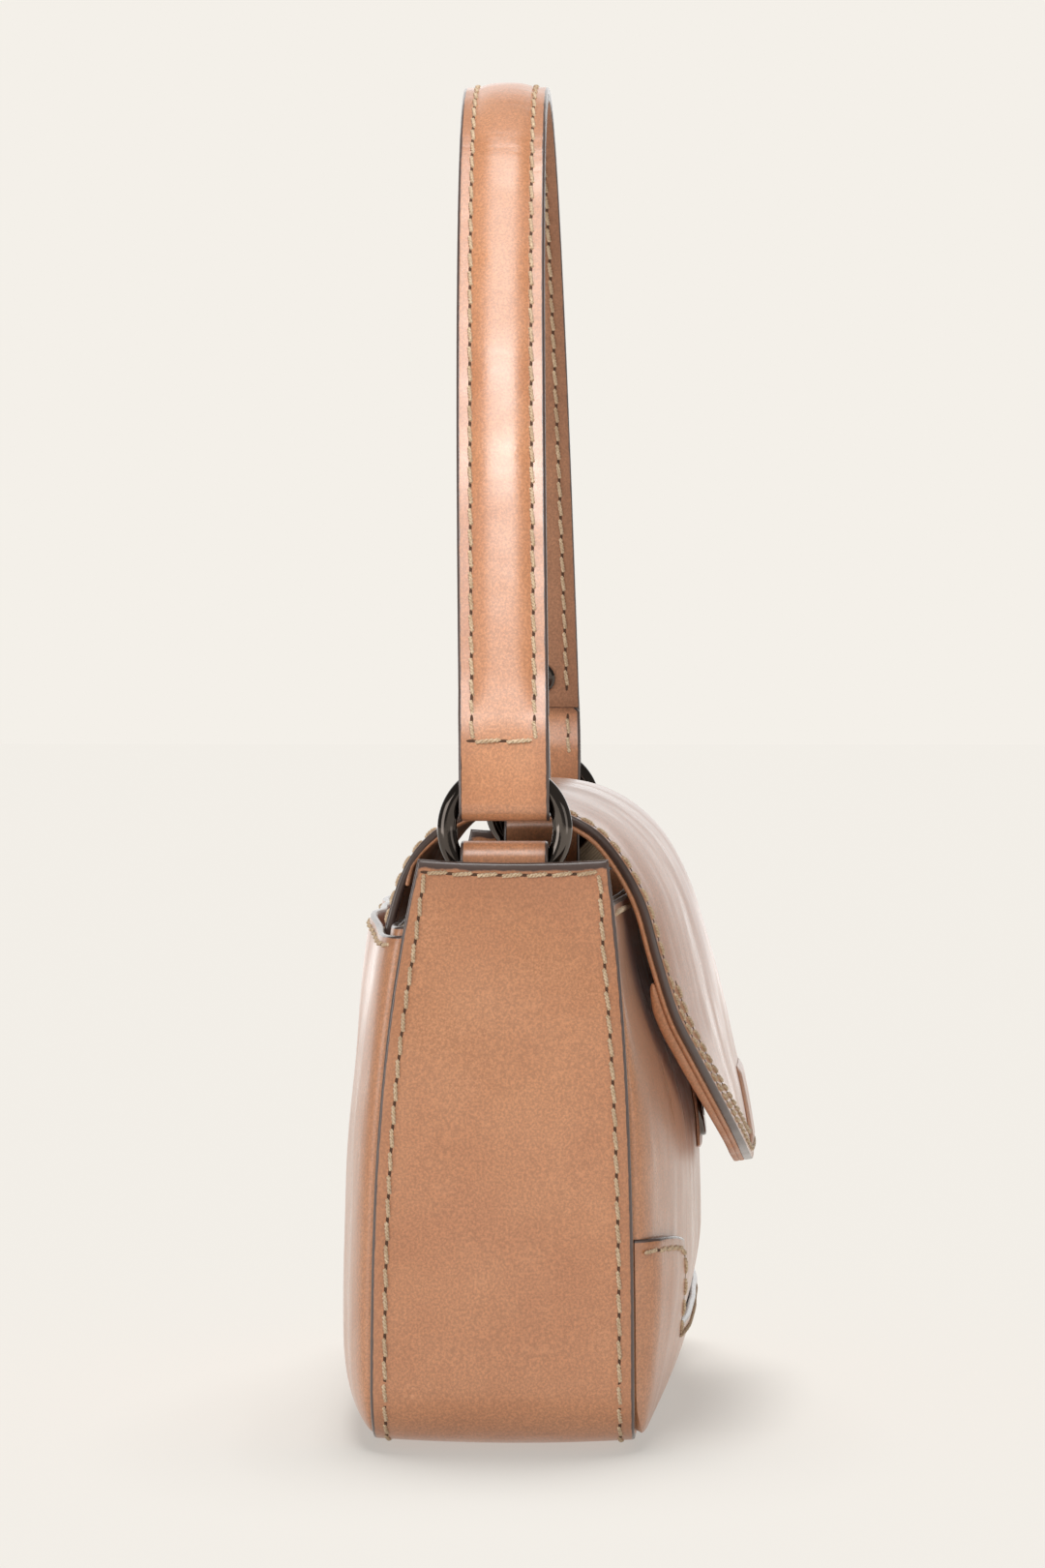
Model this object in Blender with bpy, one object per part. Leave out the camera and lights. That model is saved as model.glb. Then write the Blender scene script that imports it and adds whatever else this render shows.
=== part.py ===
import math

import bmesh
import bpy
import numpy as np
from mathutils import Matrix, Vector

MM = 0.001

# Driving sizes of the bag, seen from its end: +Y is the back, -Y the front, X runs along the length.
HALF_LENGTH = 130 * MM
GUSSET_HEIGHT = 162 * MM
BASE_FRONT = 35.8 * MM
BASE_BACK = 36.5 * MM
TOP_FRONT = 28.6 * MM
TOP_BACK = 23.3 * MM
CORNER_RADIUS = 18 * MM
FRONT_BULGE = 16.5 * MM
POCKET_BULGE = 17.5 * MM
BACK_BULGE = 7.5 * MM
FRONT_TOP = GUSSET_HEIGHT - 12 * MM
POCKET_TOP = GUSSET_HEIGHT - 21 * MM
FLANGE = 9 * MM

# Leather and lining thicknesses, and the gap that touching layers keep.
BAND_LEATHER = 2.4 * MM
PANEL_LEATHER = 2.2 * MM
POCKET_LEATHER = 2 * MM
STRAP_LEATHER = 2 * MM
LINING = 1 * MM
GAP = 0.3 * MM

# Flap: its hinge height, how far it ends short of the bag's ends and in front of it, and its layers.
HINGE_Z = GUSSET_HEIGHT - 14 * MM
FLAP_END_ROOM = 28 * MM
FLAP_STANDOFF = 17 * MM
FLAP_HALF_LENGTH = HALF_LENGTH - FLAP_END_ROOM
FLAP_LEATHER = 2.4 * MM
FLAP_STIFFENER = 0.6 * MM
FLAP_LINING = 1.4 * MM
FLAP_FACING = 2 * MM

# Rings, ring tabs and handle.
RING_WIRE_RADIUS = 2.7 * MM
RING_INNER_RADIUS = 13.2 * MM
RING_STAND = 8 * MM
RING_Z = GUSSET_HEIGHT + RING_STAND
TAB_HALF_WIDTH = 12 * MM
TAB_LENGTH = 38 * MM
TAB_BOTTOM = RING_Z - TAB_LENGTH
STRAP_HALF_WIDTH = 12.4 * MM
HANDLE_HEIGHT = 218 * MM
HANDLE_TOP = RING_Z + HANDLE_HEIGHT
HANDLE_LEAN = 5 * MM
HANDLE_PAD = 2 * MM
HANDLE_LINING = 1.6 * MM

for leftover in list(bpy.data.objects):
    bpy.data.objects.remove(leftover, do_unlink=True)


def material(name, colour, roughness, metallic=0.0):
    """A plain Principled material."""
    made = bpy.data.materials.new(name)
    made.use_nodes = True
    shader = made.node_tree.nodes["Principled BSDF"]
    shader.inputs["Base Color"].default_value = (*colour, 1.0)
    shader.inputs["Roughness"].default_value = roughness
    shader.inputs["Metallic"].default_value = metallic
    made.diffuse_color = (*colour, 1.0)
    return made


TAN_LEATHER = material("tan_leather", (0.52, 0.25, 0.13), 0.5)
LINING_LEATHER = material("lining_leather", (0.45, 0.21, 0.11), 0.7)
LINING_CLOTH = material("lining_cloth", (0.42, 0.31, 0.2), 0.9)
BOARD = material("board", (0.3, 0.26, 0.22), 0.85)
FOAM = material("foam", (0.75, 0.72, 0.65), 0.9)
GUNMETAL = material("gunmetal", (0.06, 0.052, 0.048), 0.25, 1.0)

SHARP_ANGLE = math.radians(35)


def add_object(name, mesh, finish):
    """Link a mesh as one named sub-part, smooth but for its sharp edges."""
    mesh.materials.clear()
    mesh.materials.append(finish)
    mesh.shade_smooth()
    mesh.set_sharp_from_angle(angle=SHARP_ANGLE)
    made = bpy.data.objects.new(name, mesh)
    bpy.context.scene.collection.objects.link(made)
    return made


LEAST_REACH_SHARE = 0.7


def even_normals(points, faces):
    """Offset directions that keep a sheet's thickness even where it turns."""
    total = np.zeros_like(points)
    face_normals = []
    for face in faces:
        corners = points[list(face)]
        normal = np.cross(corners[2] - corners[0], corners[3] - corners[1])
        normal /= np.linalg.norm(normal)
        face_normals.append(normal)
        total[list(face)] += normal
    total /= np.linalg.norm(total, axis=1)[:, None]
    reach = np.zeros(len(points))
    count = np.zeros(len(points))
    for face, normal in zip(faces, face_normals):
        for corner in face:
            reach[corner] += total[corner] @ normal
            count[corner] += 1
    return total / np.clip(reach / count, LEAST_REACH_SHARE, 1.0)[:, None]


def sheet_solid(name, points, faces, near, far, finish, normals=None):
    """One closed solid between two offsets of an open sheet, near outside and far inside."""
    points = np.asarray(points, float)
    if normals is None:
        normals = even_normals(points, faces)
    near = np.broadcast_to(near, len(points))[:, None]
    far = np.broadcast_to(far, len(points))[:, None]
    count = len(points)
    both = np.vstack([points + normals * near, points + normals * far])
    halves = [half for a, b, c, d in faces for half in ((a, b, c), (a, c, d))]
    solid = halves + [(c + count, b + count, a + count) for a, b, c in halves]
    edges = {(face[k], face[(k + 1) % 4]) for face in faces for k in range(4)}
    for start, end in sorted(edges):
        if (end, start) not in edges:
            solid.append((end, start, start + count, end + count))
    mesh = bpy.data.meshes.new(name)
    mesh.from_pydata([tuple(point) for point in both], [], solid)
    return add_object(name, mesh, finish)


def grid_faces(rows, columns, flip=False):
    """Faces of a grid of rows times columns points, turned over on request."""
    faces = []
    for row in range(rows - 1):
        for column in range(columns - 1):
            start = row * columns + column
            face = (start, start + 1, start + columns + 1, start + columns)
            faces.append(tuple(reversed(face)) if flip else face)
    return faces


def round_share(share, power):
    """A quarter of a superellipse: steep at share 0 and level at share 1."""
    share = np.clip(share, 0.0, 1.0)
    return (1 - (1 - share) ** power) ** (1 / power)


def smooth_share(share):
    """An S-curve from 0 to 1."""
    share = np.clip(share, 0.0, 1.0)
    return share * share * (3 - 2 * share)


# Gusset: the band's two edges taper towards its top, most of all near it.
TAPER_POWER_SHARE = 2.9


def gusset_edge(z, side):
    """Distance of the band's front (-1) or back (1) edge from the middle plane."""
    base, top = (BASE_FRONT, TOP_FRONT) if side < 0 else (BASE_BACK, TOP_BACK)
    return base - (base - top) * np.clip(z / GUSSET_HEIGHT, 0, 1) ** TAPER_POWER_SHARE


SIDE_STEPS = 7
CORNER_STEPS = 5
BASE_STEPS = 6


def end_path(inset, top):
    """The band's U from the left top round the base to the right top, as x and z."""
    radius = CORNER_RADIUS - inset
    straight = HALF_LENGTH - CORNER_RADIUS
    down = [(-HALF_LENGTH + inset, z) for z in np.linspace(top, CORNER_RADIUS, SIDE_STEPS)]
    turn = [(-straight - radius * math.cos(a), CORNER_RADIUS - radius * math.sin(a))
            for a in np.linspace(0, math.pi / 2, CORNER_STEPS + 1)[1:]]
    half = down + turn + [(x, inset) for x in np.linspace(-straight, 0, BASE_STEPS // 2 + 1)[1:]]
    return half + [(-x, z) for x, z in reversed(half[:-1])]


def band_solid(name, inset, thickness, top, margin, finish):
    """A strip of the gusset's U: from one margin inside its edges to the other."""
    path = end_path(inset, top)
    shares = np.linspace(0, 1, 6)
    points = []
    for x, z in path:
        front = -gusset_edge(z, -1) + margin
        back = gusset_edge(z, 1) - margin
        points += [(x, front + (back - front) * share, z) for share in shares]
    faces = grid_faces(len(path), len(shares))
    return sheet_solid(name, points, faces, 0, -thickness, finish)


band_solid("gusset_band", 0, BAND_LEATHER, GUSSET_HEIGHT, 0, TAN_LEATHER)

OUTER_INSET = BAND_LEATHER + GAP
LINING_TOP_DROP = 1 * MM
band_solid("lining_gusset", OUTER_INSET, LINING, GUSSET_HEIGHT - LINING_TOP_DROP,
           FLANGE + 2 * GAP, LINING_CLOTH)

# The base board lies on the gusset lining, over the flat of the base.
BOARD_THICKNESS = 1.6 * MM
BOARD_SIDE_MARGIN = 14 * MM
BOARD_CORNER = 5 * MM
BOARD_EDGE = 0.4 * MM


def rounded_plate(name, half_x, y_front, y_back, bottom, thickness, corner, edge, finish):
    """A flat plate with round corners and eased edges."""
    mesh = bpy.data.meshes.new(name)
    shape = bmesh.new()
    bmesh.ops.create_cube(shape, size=1.0)
    size = Vector((2 * half_x, y_back - y_front, thickness))
    centre = Vector((0, (y_front + y_back) / 2, bottom + thickness / 2))
    bmesh.ops.scale(shape, vec=size, verts=shape.verts)
    upright = [e for e in shape.edges if abs(e.verts[0].co.z - e.verts[1].co.z) > thickness / 2]
    bmesh.ops.bevel(shape, geom=upright, offset=corner, segments=4, affect="EDGES", profile=0.5)
    rim = [e for e in shape.edges if abs(e.verts[0].co.z - e.verts[1].co.z) < thickness / 2
           and len(e.link_faces) == 2 and e.calc_face_angle() > SHARP_ANGLE]
    bmesh.ops.bevel(shape, geom=rim, offset=edge, segments=1, affect="EDGES", profile=0.5)
    bmesh.ops.translate(shape, vec=centre, verts=shape.verts)
    shape.to_mesh(mesh)
    shape.free()
    return add_object(name, mesh, finish)


rounded_plate("base_board", HALF_LENGTH - CORNER_RADIUS, -BASE_FRONT + BOARD_SIDE_MARGIN,
              BASE_BACK - BOARD_SIDE_MARGIN, OUTER_INSET + LINING + GAP, BOARD_THICKNESS,
              BOARD_CORNER, BOARD_EDGE, BOARD)

# Front and back panels: shallow pans whose flange is turned in under the band's edge.
FRONT_FULL = 46 * MM
BACK_FULL = 25 * MM
BASE_ROUND_POWER = 2.2
PANEL_COLUMNS = 7
panel_along = np.sin(np.linspace(-math.pi / 2, math.pi / 2, 2 * PANEL_COLUMNS + 1))
FRONT_FALL_START = FRONT_TOP - 76 * MM
FRONT_FALL_END = FRONT_TOP - 35 * MM
FRONT_TOP_SHARE = 0.03


class Panel:
    """The outer face of one panel: a bulged sheet inside the band's U."""

    def __init__(self, side, inset, bulge, full, round_power):
        self.side = side
        self.inset = inset
        self.drop = inset - OUTER_INSET
        self.bulge = bulge
        self.full = full
        self.round_power = round_power

    def half_width(self, z):
        """Half of the panel's length at a height, inside the band's round corners."""
        radius = CORNER_RADIUS - self.inset
        below = np.clip(CORNER_RADIUS - z, 0, radius)
        return HALF_LENGTH - CORNER_RADIUS + np.sqrt(radius ** 2 - below ** 2)

    def rise(self, z):
        """Share of the bulge at a height."""
        share = round_share((z - self.inset) / self.full, BASE_ROUND_POWER)
        if self.side < 0:
            fall = smooth_share((z - FRONT_FALL_START) / (FRONT_FALL_END - FRONT_FALL_START))
            share = share * (1 - (1 - FRONT_TOP_SHARE) * fall)
        return share

    def points(self, along, z):
        """Points at shares of the half length and at heights."""
        swell = self.bulge * round_share(1 - np.abs(along), self.round_power) * self.rise(z)
        y = self.side * (gusset_edge(z, self.side) - self.drop + swell)
        return np.stack([along * self.half_width(z), y, z], axis=-1)

    def grid(self, along, heights):
        """A full grid: each row at one height."""
        return self.points(*np.meshgrid(along, heights))

    def rows(self, top):
        """Heights of the rows, close together round the base corner."""
        radius = CORNER_RADIUS - self.inset
        turn = [CORNER_RADIUS - radius * math.cos(a)
                for a in np.linspace(0, math.pi / 2, CORNER_STEPS)]
        return np.array(turn + list(np.linspace(CORNER_RADIUS, top, SIDE_STEPS + 2)[1:]))

    def pan(self, name, top, thickness, flange, finish):
        """The whole panel with its flange."""
        heights = self.rows(top)
        grid = self.grid(panel_along, heights)
        rows, columns = grid.shape[:2]
        flip = self.side > 0
        faces = grid_faces(rows, columns, flip)
        rim = [row * columns for row in range(rows - 1, 0, -1)]
        rim += list(range(columns))
        rim += [row * columns + columns - 1 for row in range(1, rows)]
        points = grid.reshape(-1, 3)
        turned = points[rim] - np.array([0, self.side * flange, 0])
        start = len(points)
        for k in range(len(rim) - 1):
            face = (rim[k], start + k, start + k + 1, rim[k + 1])
            faces.append(tuple(reversed(face)) if flip else face)
        return sheet_solid(name, np.vstack([points, turned]), faces, 0, -thickness, finish)

    def backing(self, name, top, first_row, margin, near, far, finish):
        """A layer on the pan's own grid, from one row to the top, some end columns left off."""
        grid = self.grid(panel_along, self.rows(top))
        faces = grid_faces(grid.shape[0], grid.shape[1], self.side > 0)
        normals = even_normals(grid.reshape(-1, 3), faces).reshape(grid.shape)
        grid = grid[first_row:, margin:-margin]
        normals = normals[first_row:, margin:-margin]
        faces = grid_faces(grid.shape[0], grid.shape[1], self.side > 0)
        return sheet_solid(name, grid.reshape(-1, 3), faces, near, far, finish, normals.reshape(-1, 3))

    def layer(self, name, along, heights, near, far, finish):
        """A flat layer on the panel, near and far being offsets from its outer face."""
        grid = self.points(along, heights) if np.ndim(heights) == 2 else self.grid(along, heights)
        faces = grid_faces(grid.shape[0], grid.shape[1], self.side > 0)
        return sheet_solid(name, grid.reshape(-1, 3), faces, near, far, finish)


FRONT_ROUND_POWER = 2.0
BACK_ROUND_POWER = 6.0
front = Panel(-1, OUTER_INSET, FRONT_BULGE, FRONT_FULL, FRONT_ROUND_POWER)
pocket = Panel(1, OUTER_INSET, POCKET_BULGE, BACK_FULL, BASE_ROUND_POWER)
back = Panel(1, OUTER_INSET + POCKET_LEATHER + GAP, BACK_BULGE, BACK_FULL, BACK_ROUND_POWER)

front.pan("front_panel", FRONT_TOP, PANEL_LEATHER, FLANGE, TAN_LEATHER)
pocket.pan("back_pocket", POCKET_TOP, POCKET_LEATHER, FLANGE, TAN_LEATHER)
BACK_TOP = HINGE_Z - FLAP_LEATHER / 2 - GAP
HINGE_Y = float(back.points(np.array(0.0), np.array(BACK_TOP))[1]) - PANEL_LEATHER / 2
FLAP_REACH = HINGE_Y + BASE_FRONT + FRONT_BULGE + FLAP_STANDOFF
back.pan("back_panel", BACK_TOP, PANEL_LEATHER, FLANGE - GAP, TAN_LEATHER)

# Front overlay: an apron with high shoulders at both ends and a low run between them.
OVERLAY_LEATHER = 2.2 * MM
OVERLAY_SHOULDER = 58 * MM
OVERLAY_LOW = 27 * MM
OVERLAY_STEP_AT = 88 * MM
OVERLAY_STEP_RUN = 5 * MM
OVERLAY_BASE = 6 * MM
OVERLAY_INNER_SHARES = [0.0, 0.22, 0.43]
OVERLAY_OUTER_SHARES = [0.82, 0.9, 0.95]
OVERLAY_SEAT = 2 * GAP


def overlay_top(x):
    """Height of the apron's top edge along the bag."""
    step = smooth_share((np.abs(x) - OVERLAY_STEP_AT + OVERLAY_STEP_RUN) / (2 * OVERLAY_STEP_RUN))
    return OVERLAY_LOW + (OVERLAY_SHOULDER - OVERLAY_LOW) * step


front_half = HALF_LENGTH - OUTER_INSET
step_shares = (OVERLAY_STEP_AT + OVERLAY_STEP_RUN * np.linspace(-1, 1, 5)) / front_half
half_shares = [*OVERLAY_INNER_SHARES, *step_shares, *OVERLAY_OUTER_SHARES]
overlay_along = np.array([-share for share in reversed(half_shares[1:])] + half_shares)
overlay_rise_shares = np.array([0.0, 0.12, 0.3, 0.5, 0.75, 1.0])[:, None]
overlay_rise = overlay_top(overlay_along * front_half) - OVERLAY_BASE
overlay_heights = OVERLAY_BASE + overlay_rise * overlay_rise_shares
overlay_grid_along = np.broadcast_to(overlay_along, overlay_heights.shape)
front.layer("front_overlay", overlay_grid_along, overlay_heights, OVERLAY_SEAT + OVERLAY_LEATHER,
            OVERLAY_SEAT, TAN_LEATHER)

# Linings, mouth facings and the slip pocket, each on the inner face of the one before.
LINING_FIRST_ROW = 3
LINING_MARGIN_COLUMNS = 2
FACING_ROWS = 2
FACING_LEATHER = 1.2 * MM
SLIP_HALF_SHARE = 0.5
SLIP_DROP = 2.4 * MM
SLIP_DEPTH_SHARE = 0.7
lining_depth = PANEL_LEATHER + GAP
facing_depth = lining_depth + LINING + GAP

for side_name, panel, top in (("front", front, FRONT_TOP), ("back", back, BACK_TOP)):
    panel.backing("lining_" + side_name, top, LINING_FIRST_ROW, LINING_MARGIN_COLUMNS,
                  -lining_depth, -lining_depth - LINING, LINING_CLOTH)
    panel.backing("mouth_facing_" + side_name, top, -1 - FACING_ROWS, LINING_MARGIN_COLUMNS,
                  -facing_depth, -facing_depth - FACING_LEATHER, LINING_LEATHER)

slip_along = SLIP_HALF_SHARE * np.linspace(-1, 1, 9)
slip_top = back.rows(BACK_TOP)[-1 - FACING_ROWS] - SLIP_DROP
slip_heights = np.linspace(slip_top - (slip_top - CORNER_RADIUS) * SLIP_DEPTH_SHARE, slip_top, 5)
slip_depth = facing_depth + GAP
back.layer("slip_pocket", slip_along, slip_heights, -slip_depth, -slip_depth - LINING, LINING_CLOTH)

# Flap profiles at mid-length and at the ends: shares of the flap's reach, forwards and up
# from the hinge, from the hinge to the lower edge.
FLAP_MIDDLE_SHARES = [(0, 0), (0.02, 0.085), (0.045, 0.17), (0.11, 0.255), (0.24, 0.315),
                      (0.40, 0.333), (0.56, 0.30), (0.705, 0.20), (0.80, 0.05),
                      (0.865, -0.145), (0.91, -0.32), (0.94, -0.46), (0.97, -0.59), (1.0, -0.78)]
FLAP_END_SHARES = [(0, 0), (0.008, 0.07), (0.028, 0.15), (0.094, 0.23), (0.206, 0.28),
                   (0.358, 0.29), (0.51, 0.24), (0.602, 0.17), (0.694, 0.02),
                   (0.74, -0.15), (0.775, -0.315), (0.806, -0.40), (0.842, -0.49),
                   (0.885, -0.61), (0.92, -0.73)]
FLAP_CORNER_START_SHARE = 0.56
FLAP_CORNER_END_SHARE = 0.985
FLAP_CORNER_POWER = 2.4
CURVE_STEPS = 12


def curve_through(points, shares):
    """Points of a smooth curve through the given ones, at shares of its length."""
    points = np.array(points, float)
    ends = np.vstack([2 * points[0] - points[1], points, 2 * points[-1] - points[-2]])
    fine = []
    for k in range(1, len(ends) - 2):
        for t in np.linspace(0, 1, CURVE_STEPS, endpoint=False):
            a, b, c, d = ends[k - 1:k + 3]
            fine.append(0.5 * (2 * b + (c - a) * t + (2 * a - 5 * b + 4 * c - d) * t * t
                               + (3 * b - a - 3 * c + d) * t ** 3))
    fine = np.array(fine + [points[-1]])
    length = np.concatenate([[0], np.cumsum(np.linalg.norm(np.diff(fine, axis=0), axis=1))])
    wanted = np.asarray(shares) * length[-1]
    return np.stack([np.interp(wanted, length, fine[:, axis]) for axis in (0, 1)], axis=-1)


def flap_width_share(share):
    """Share of the flap's half length at a share of its profile: full, then a round corner."""
    corner = np.clip((share - FLAP_CORNER_START_SHARE) / (1 - FLAP_CORNER_START_SHARE), 0, 1)
    return np.sqrt(1 - (corner * FLAP_CORNER_END_SHARE) ** FLAP_CORNER_POWER)


def flap_points(along, shares):
    """Points of the flap's outer face at shares along the bag and down the profile."""
    middle = curve_through(FLAP_MIDDLE_SHARES, shares)[:, None, :]
    end = curve_through(FLAP_END_SHARES, shares)[:, None, :]
    x_share = flap_width_share(np.asarray(shares))[:, None] * np.asarray(along)[None, :]
    mixed = middle + (end - middle) * (x_share ** 2)[:, :, None]
    y = HINGE_Y + FLAP_LEATHER / 2 - mixed[:, :, 0] * FLAP_REACH
    z = HINGE_Z + mixed[:, :, 1] * FLAP_REACH
    return np.stack([x_share * FLAP_HALF_LENGTH, y, z], axis=-1)


flap_shares = np.concatenate([
    np.linspace(0, FLAP_CORNER_START_SHARE, 12),
    FLAP_CORNER_START_SHARE + (1 - FLAP_CORNER_START_SHARE) * np.sin(np.linspace(0, math.pi / 2, 10))[1:]])
flap_along = np.sin(np.linspace(-math.pi / 2, math.pi / 2, 15))
flap_grid = flap_points(flap_along, flap_shares)
flap_columns = len(flap_along)
flap_normals = even_normals(flap_grid.reshape(-1, 3), grid_faces(len(flap_shares), flap_columns, True))
flap_normals = flap_normals.reshape(flap_grid.shape)


NOSE_DROP_SHARE = 0.8
NOSE_NEAR_SHARE = 0.5
NOSE_FAR_SHARE = 1.5


def flap_layer(name, near, far, first, last, margin, finish, nose=False):
    """One layer of the flap between two rows, with a margin of whole columns left off."""
    columns = slice(margin, flap_columns - margin)
    grid = flap_grid[first:last, columns]
    normals = flap_normals[first:last, columns]
    rows = grid.shape[0]
    width = grid.shape[1]
    near = np.full((rows, width), near)
    far = np.full((rows, width), far)
    if nose:
        half = FLAP_LEATHER / 2
        back_off = np.array([0, 0, -half * NOSE_DROP_SHARE])
        grid = np.vstack([grid[:1] + back_off, grid])
        normals = np.vstack([normals[:1], normals])
        near = np.vstack([np.full((1, width), -half * NOSE_NEAR_SHARE), near])
        far = np.vstack([np.full((1, width), -half * NOSE_FAR_SHARE), far])
        rows += 1
    return sheet_solid(name, grid.reshape(-1, 3), grid_faces(rows, width, True), near.ravel(),
                       far.ravel(), finish, normals.reshape(-1, 3))


flap_rows = len(flap_shares)
FLAP_INNER = FLAP_LEATHER + GAP + FLAP_STIFFENER + GAP
flap_layer("flap_outer", 0.0, -FLAP_LEATHER, 0, flap_rows, 0, TAN_LEATHER, nose=True)
flap_layer("flap_stiffener", -FLAP_LEATHER - GAP, -FLAP_LEATHER - GAP - FLAP_STIFFENER,
           2, flap_rows - 3, 2, BOARD)
flap_layer("flap_lining", -FLAP_INNER, -FLAP_INNER - FLAP_LINING, 1, flap_rows, 0, LINING_LEATHER)
FACING_ROW = 14
flap_layer("flap_facing", -FLAP_INNER - FLAP_LINING - GAP, -FLAP_INNER - FLAP_LINING - GAP - FLAP_FACING,
           FACING_ROW, flap_rows, 0, LINING_LEATHER)

# Closure tab: a small leather piece over the lower middle of the flap.
CLOSURE_LEATHER = 1.4 * MM
CLOSURE_HALF_WIDTH = 16 * MM
CLOSURE_START_SHARE = 0.86
CLOSURE_END_SHARE = 0.995
closure_shares = np.linspace(CLOSURE_START_SHARE, CLOSURE_END_SHARE, 5)
closure_along = np.linspace(-1, 1, 7)
closure_rows = []
for share in closure_shares:
    width_share = CLOSURE_HALF_WIDTH / (FLAP_HALF_LENGTH * flap_width_share(share))
    closure_rows.append(flap_points(closure_along * width_share, [share])[0])
closure_grid = np.array(closure_rows)
sheet_solid("closure_tab", closure_grid.reshape(-1, 3), grid_faces(5, 7, True),
            GAP + CLOSURE_LEATHER, GAP, TAN_LEATHER)


# Snap: a turned socket on the front panel and a turned stud under the flap, face to face.
SNAP_RADIUS = 9 * MM
SNAP_HOLE_RADIUS = 3 * MM
SNAP_SOCKET_HEIGHT = 1.6 * MM
SNAP_STUD_HEIGHT = 1.2 * MM
SNAP_STUD_RADIUS = 2.5 * MM
SNAP_Z = HINGE_Z - 64 * MM
SNAP_EDGE = 0.4 * MM
TURN_STEPS = 28


def turned(name, outline, place, finish):
    """A solid turned from (radius, height) points about its own Z, set by a matrix."""
    shape = bmesh.new()
    rings = []
    for radius, height in outline:
        if radius == 0:
            rings.append([shape.verts.new((0, 0, height))])
            continue
        rings.append([shape.verts.new((radius * math.cos(2 * math.pi * k / TURN_STEPS),
                                       radius * math.sin(2 * math.pi * k / TURN_STEPS), height))
                      for k in range(TURN_STEPS)])
    for lower, upper in zip(rings, rings[1:]):
        for k in range(TURN_STEPS):
            after = (k + 1) % TURN_STEPS
            corners = [lower[k % len(lower)], lower[after % len(lower)],
                       upper[after % len(upper)], upper[k % len(upper)]]
            shape.faces.new(list(dict.fromkeys(corners)))
    bmesh.ops.recalc_face_normals(shape, faces=shape.faces)
    mesh = bpy.data.meshes.new(name)
    shape.to_mesh(mesh)
    shape.free()
    made = add_object(name, mesh, finish)
    made.matrix_world = place
    return made


def facing(direction, point):
    """A matrix that stands a turned piece at a point, its Z along a direction."""
    turn = Vector((0, 0, 1)).rotation_difference(Vector(direction)).to_matrix().to_4x4()
    return Matrix.Translation(Vector(point)) @ turn


step = 1 * MM
middle = front.points(np.array(0.0), np.array(SNAP_Z))
above = front.points(np.array(0.0), np.array(SNAP_Z + step))
slope = above - middle
front_normal = Vector((0, -slope[2], slope[1])).normalized()
turned("snap_socket", [(0, 0), (SNAP_RADIUS, 0), (SNAP_RADIUS, SNAP_SOCKET_HEIGHT - SNAP_EDGE),
                       (SNAP_RADIUS - SNAP_EDGE, SNAP_SOCKET_HEIGHT),
                       (SNAP_HOLE_RADIUS, SNAP_SOCKET_HEIGHT),
                       (SNAP_HOLE_RADIUS, SNAP_SOCKET_HEIGHT / 2), (0, SNAP_SOCKET_HEIGHT / 2)],
       facing(front_normal, Vector(middle) + front_normal * 2 * GAP), GUNMETAL)

# Share of the profile at which the stud meets the socket when the flap is pressed shut.
STUD_SHARE = 0.915
STUD_STEP_SHARE = 0.005
stud_points = flap_points([0.0], [STUD_SHARE, STUD_SHARE + STUD_STEP_SHARE])[:, 0]
along_profile = stud_points[1] - stud_points[0]
flap_inward = Vector((0, -along_profile[2], along_profile[1])).normalized()
stud_depth = FLAP_INNER + FLAP_LINING + GAP + FLAP_FACING + 2 * GAP
turned("snap_stud", [(0, 0), (SNAP_RADIUS, 0), (SNAP_RADIUS, SNAP_STUD_HEIGHT / 2),
                     (SNAP_RADIUS - SNAP_EDGE, SNAP_STUD_HEIGHT / 2 + SNAP_EDGE),
                     (SNAP_STUD_RADIUS, SNAP_STUD_HEIGHT / 2 + SNAP_EDGE),
                     (SNAP_STUD_RADIUS, SNAP_STUD_HEIGHT), (0, SNAP_STUD_HEIGHT)],
       facing(flap_inward, Vector(stud_points[0]) + flap_inward * stud_depth), GUNMETAL)

# Rings: round wire in the end planes, between the tabs below and the handle above.
TAB_OUTER_X = HALF_LENGTH - OUTER_INSET - LINING - GAP
RING_X = TAB_OUTER_X - STRAP_LEATHER - GAP - RING_WIRE_RADIUS
RING_RADIUS = RING_INNER_RADIUS + RING_WIRE_RADIUS
LOOP_RADIUS = RING_WIRE_RADIUS + GAP + STRAP_LEATHER
END_SIDES = (("left", -1), ("right", 1))

for end_name, end in END_SIDES:
    bpy.ops.mesh.primitive_torus_add(major_radius=RING_RADIUS, minor_radius=RING_WIRE_RADIUS,
                                     major_segments=36, minor_segments=10)
    ring = bpy.context.object
    ring.name = "ring_" + end_name
    ring.data.materials.append(GUNMETAL)
    ring.data.shade_smooth()
    ring.rotation_euler = (0, math.pi / 2, 0)
    ring.location = (end * RING_X, 0, RING_Z)


def strip_solid(name, path, half_width, thickness, finish, columns=2, lean=None):
    """A strip of leather whose outer face follows a path of (x, z), outside on its left."""
    path = np.asarray(path)
    across = np.linspace(-half_width, half_width, columns)
    points = np.array([[(x, y, z) for y in across] for x, z in path])
    if lean is not None:
        points[:, :, 1] += lean(points[:, :, 2])
    faces = grid_faces(len(path), columns, True)
    return sheet_solid(name, points.reshape(-1, 3), faces, 0, -thickness, finish)


def wire_reach(half_width):
    """How far from the ring's middle its wire's inner side still is at a strap's edge."""
    return math.sqrt(RING_INNER_RADIUS ** 2 - half_width ** 2)


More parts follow.
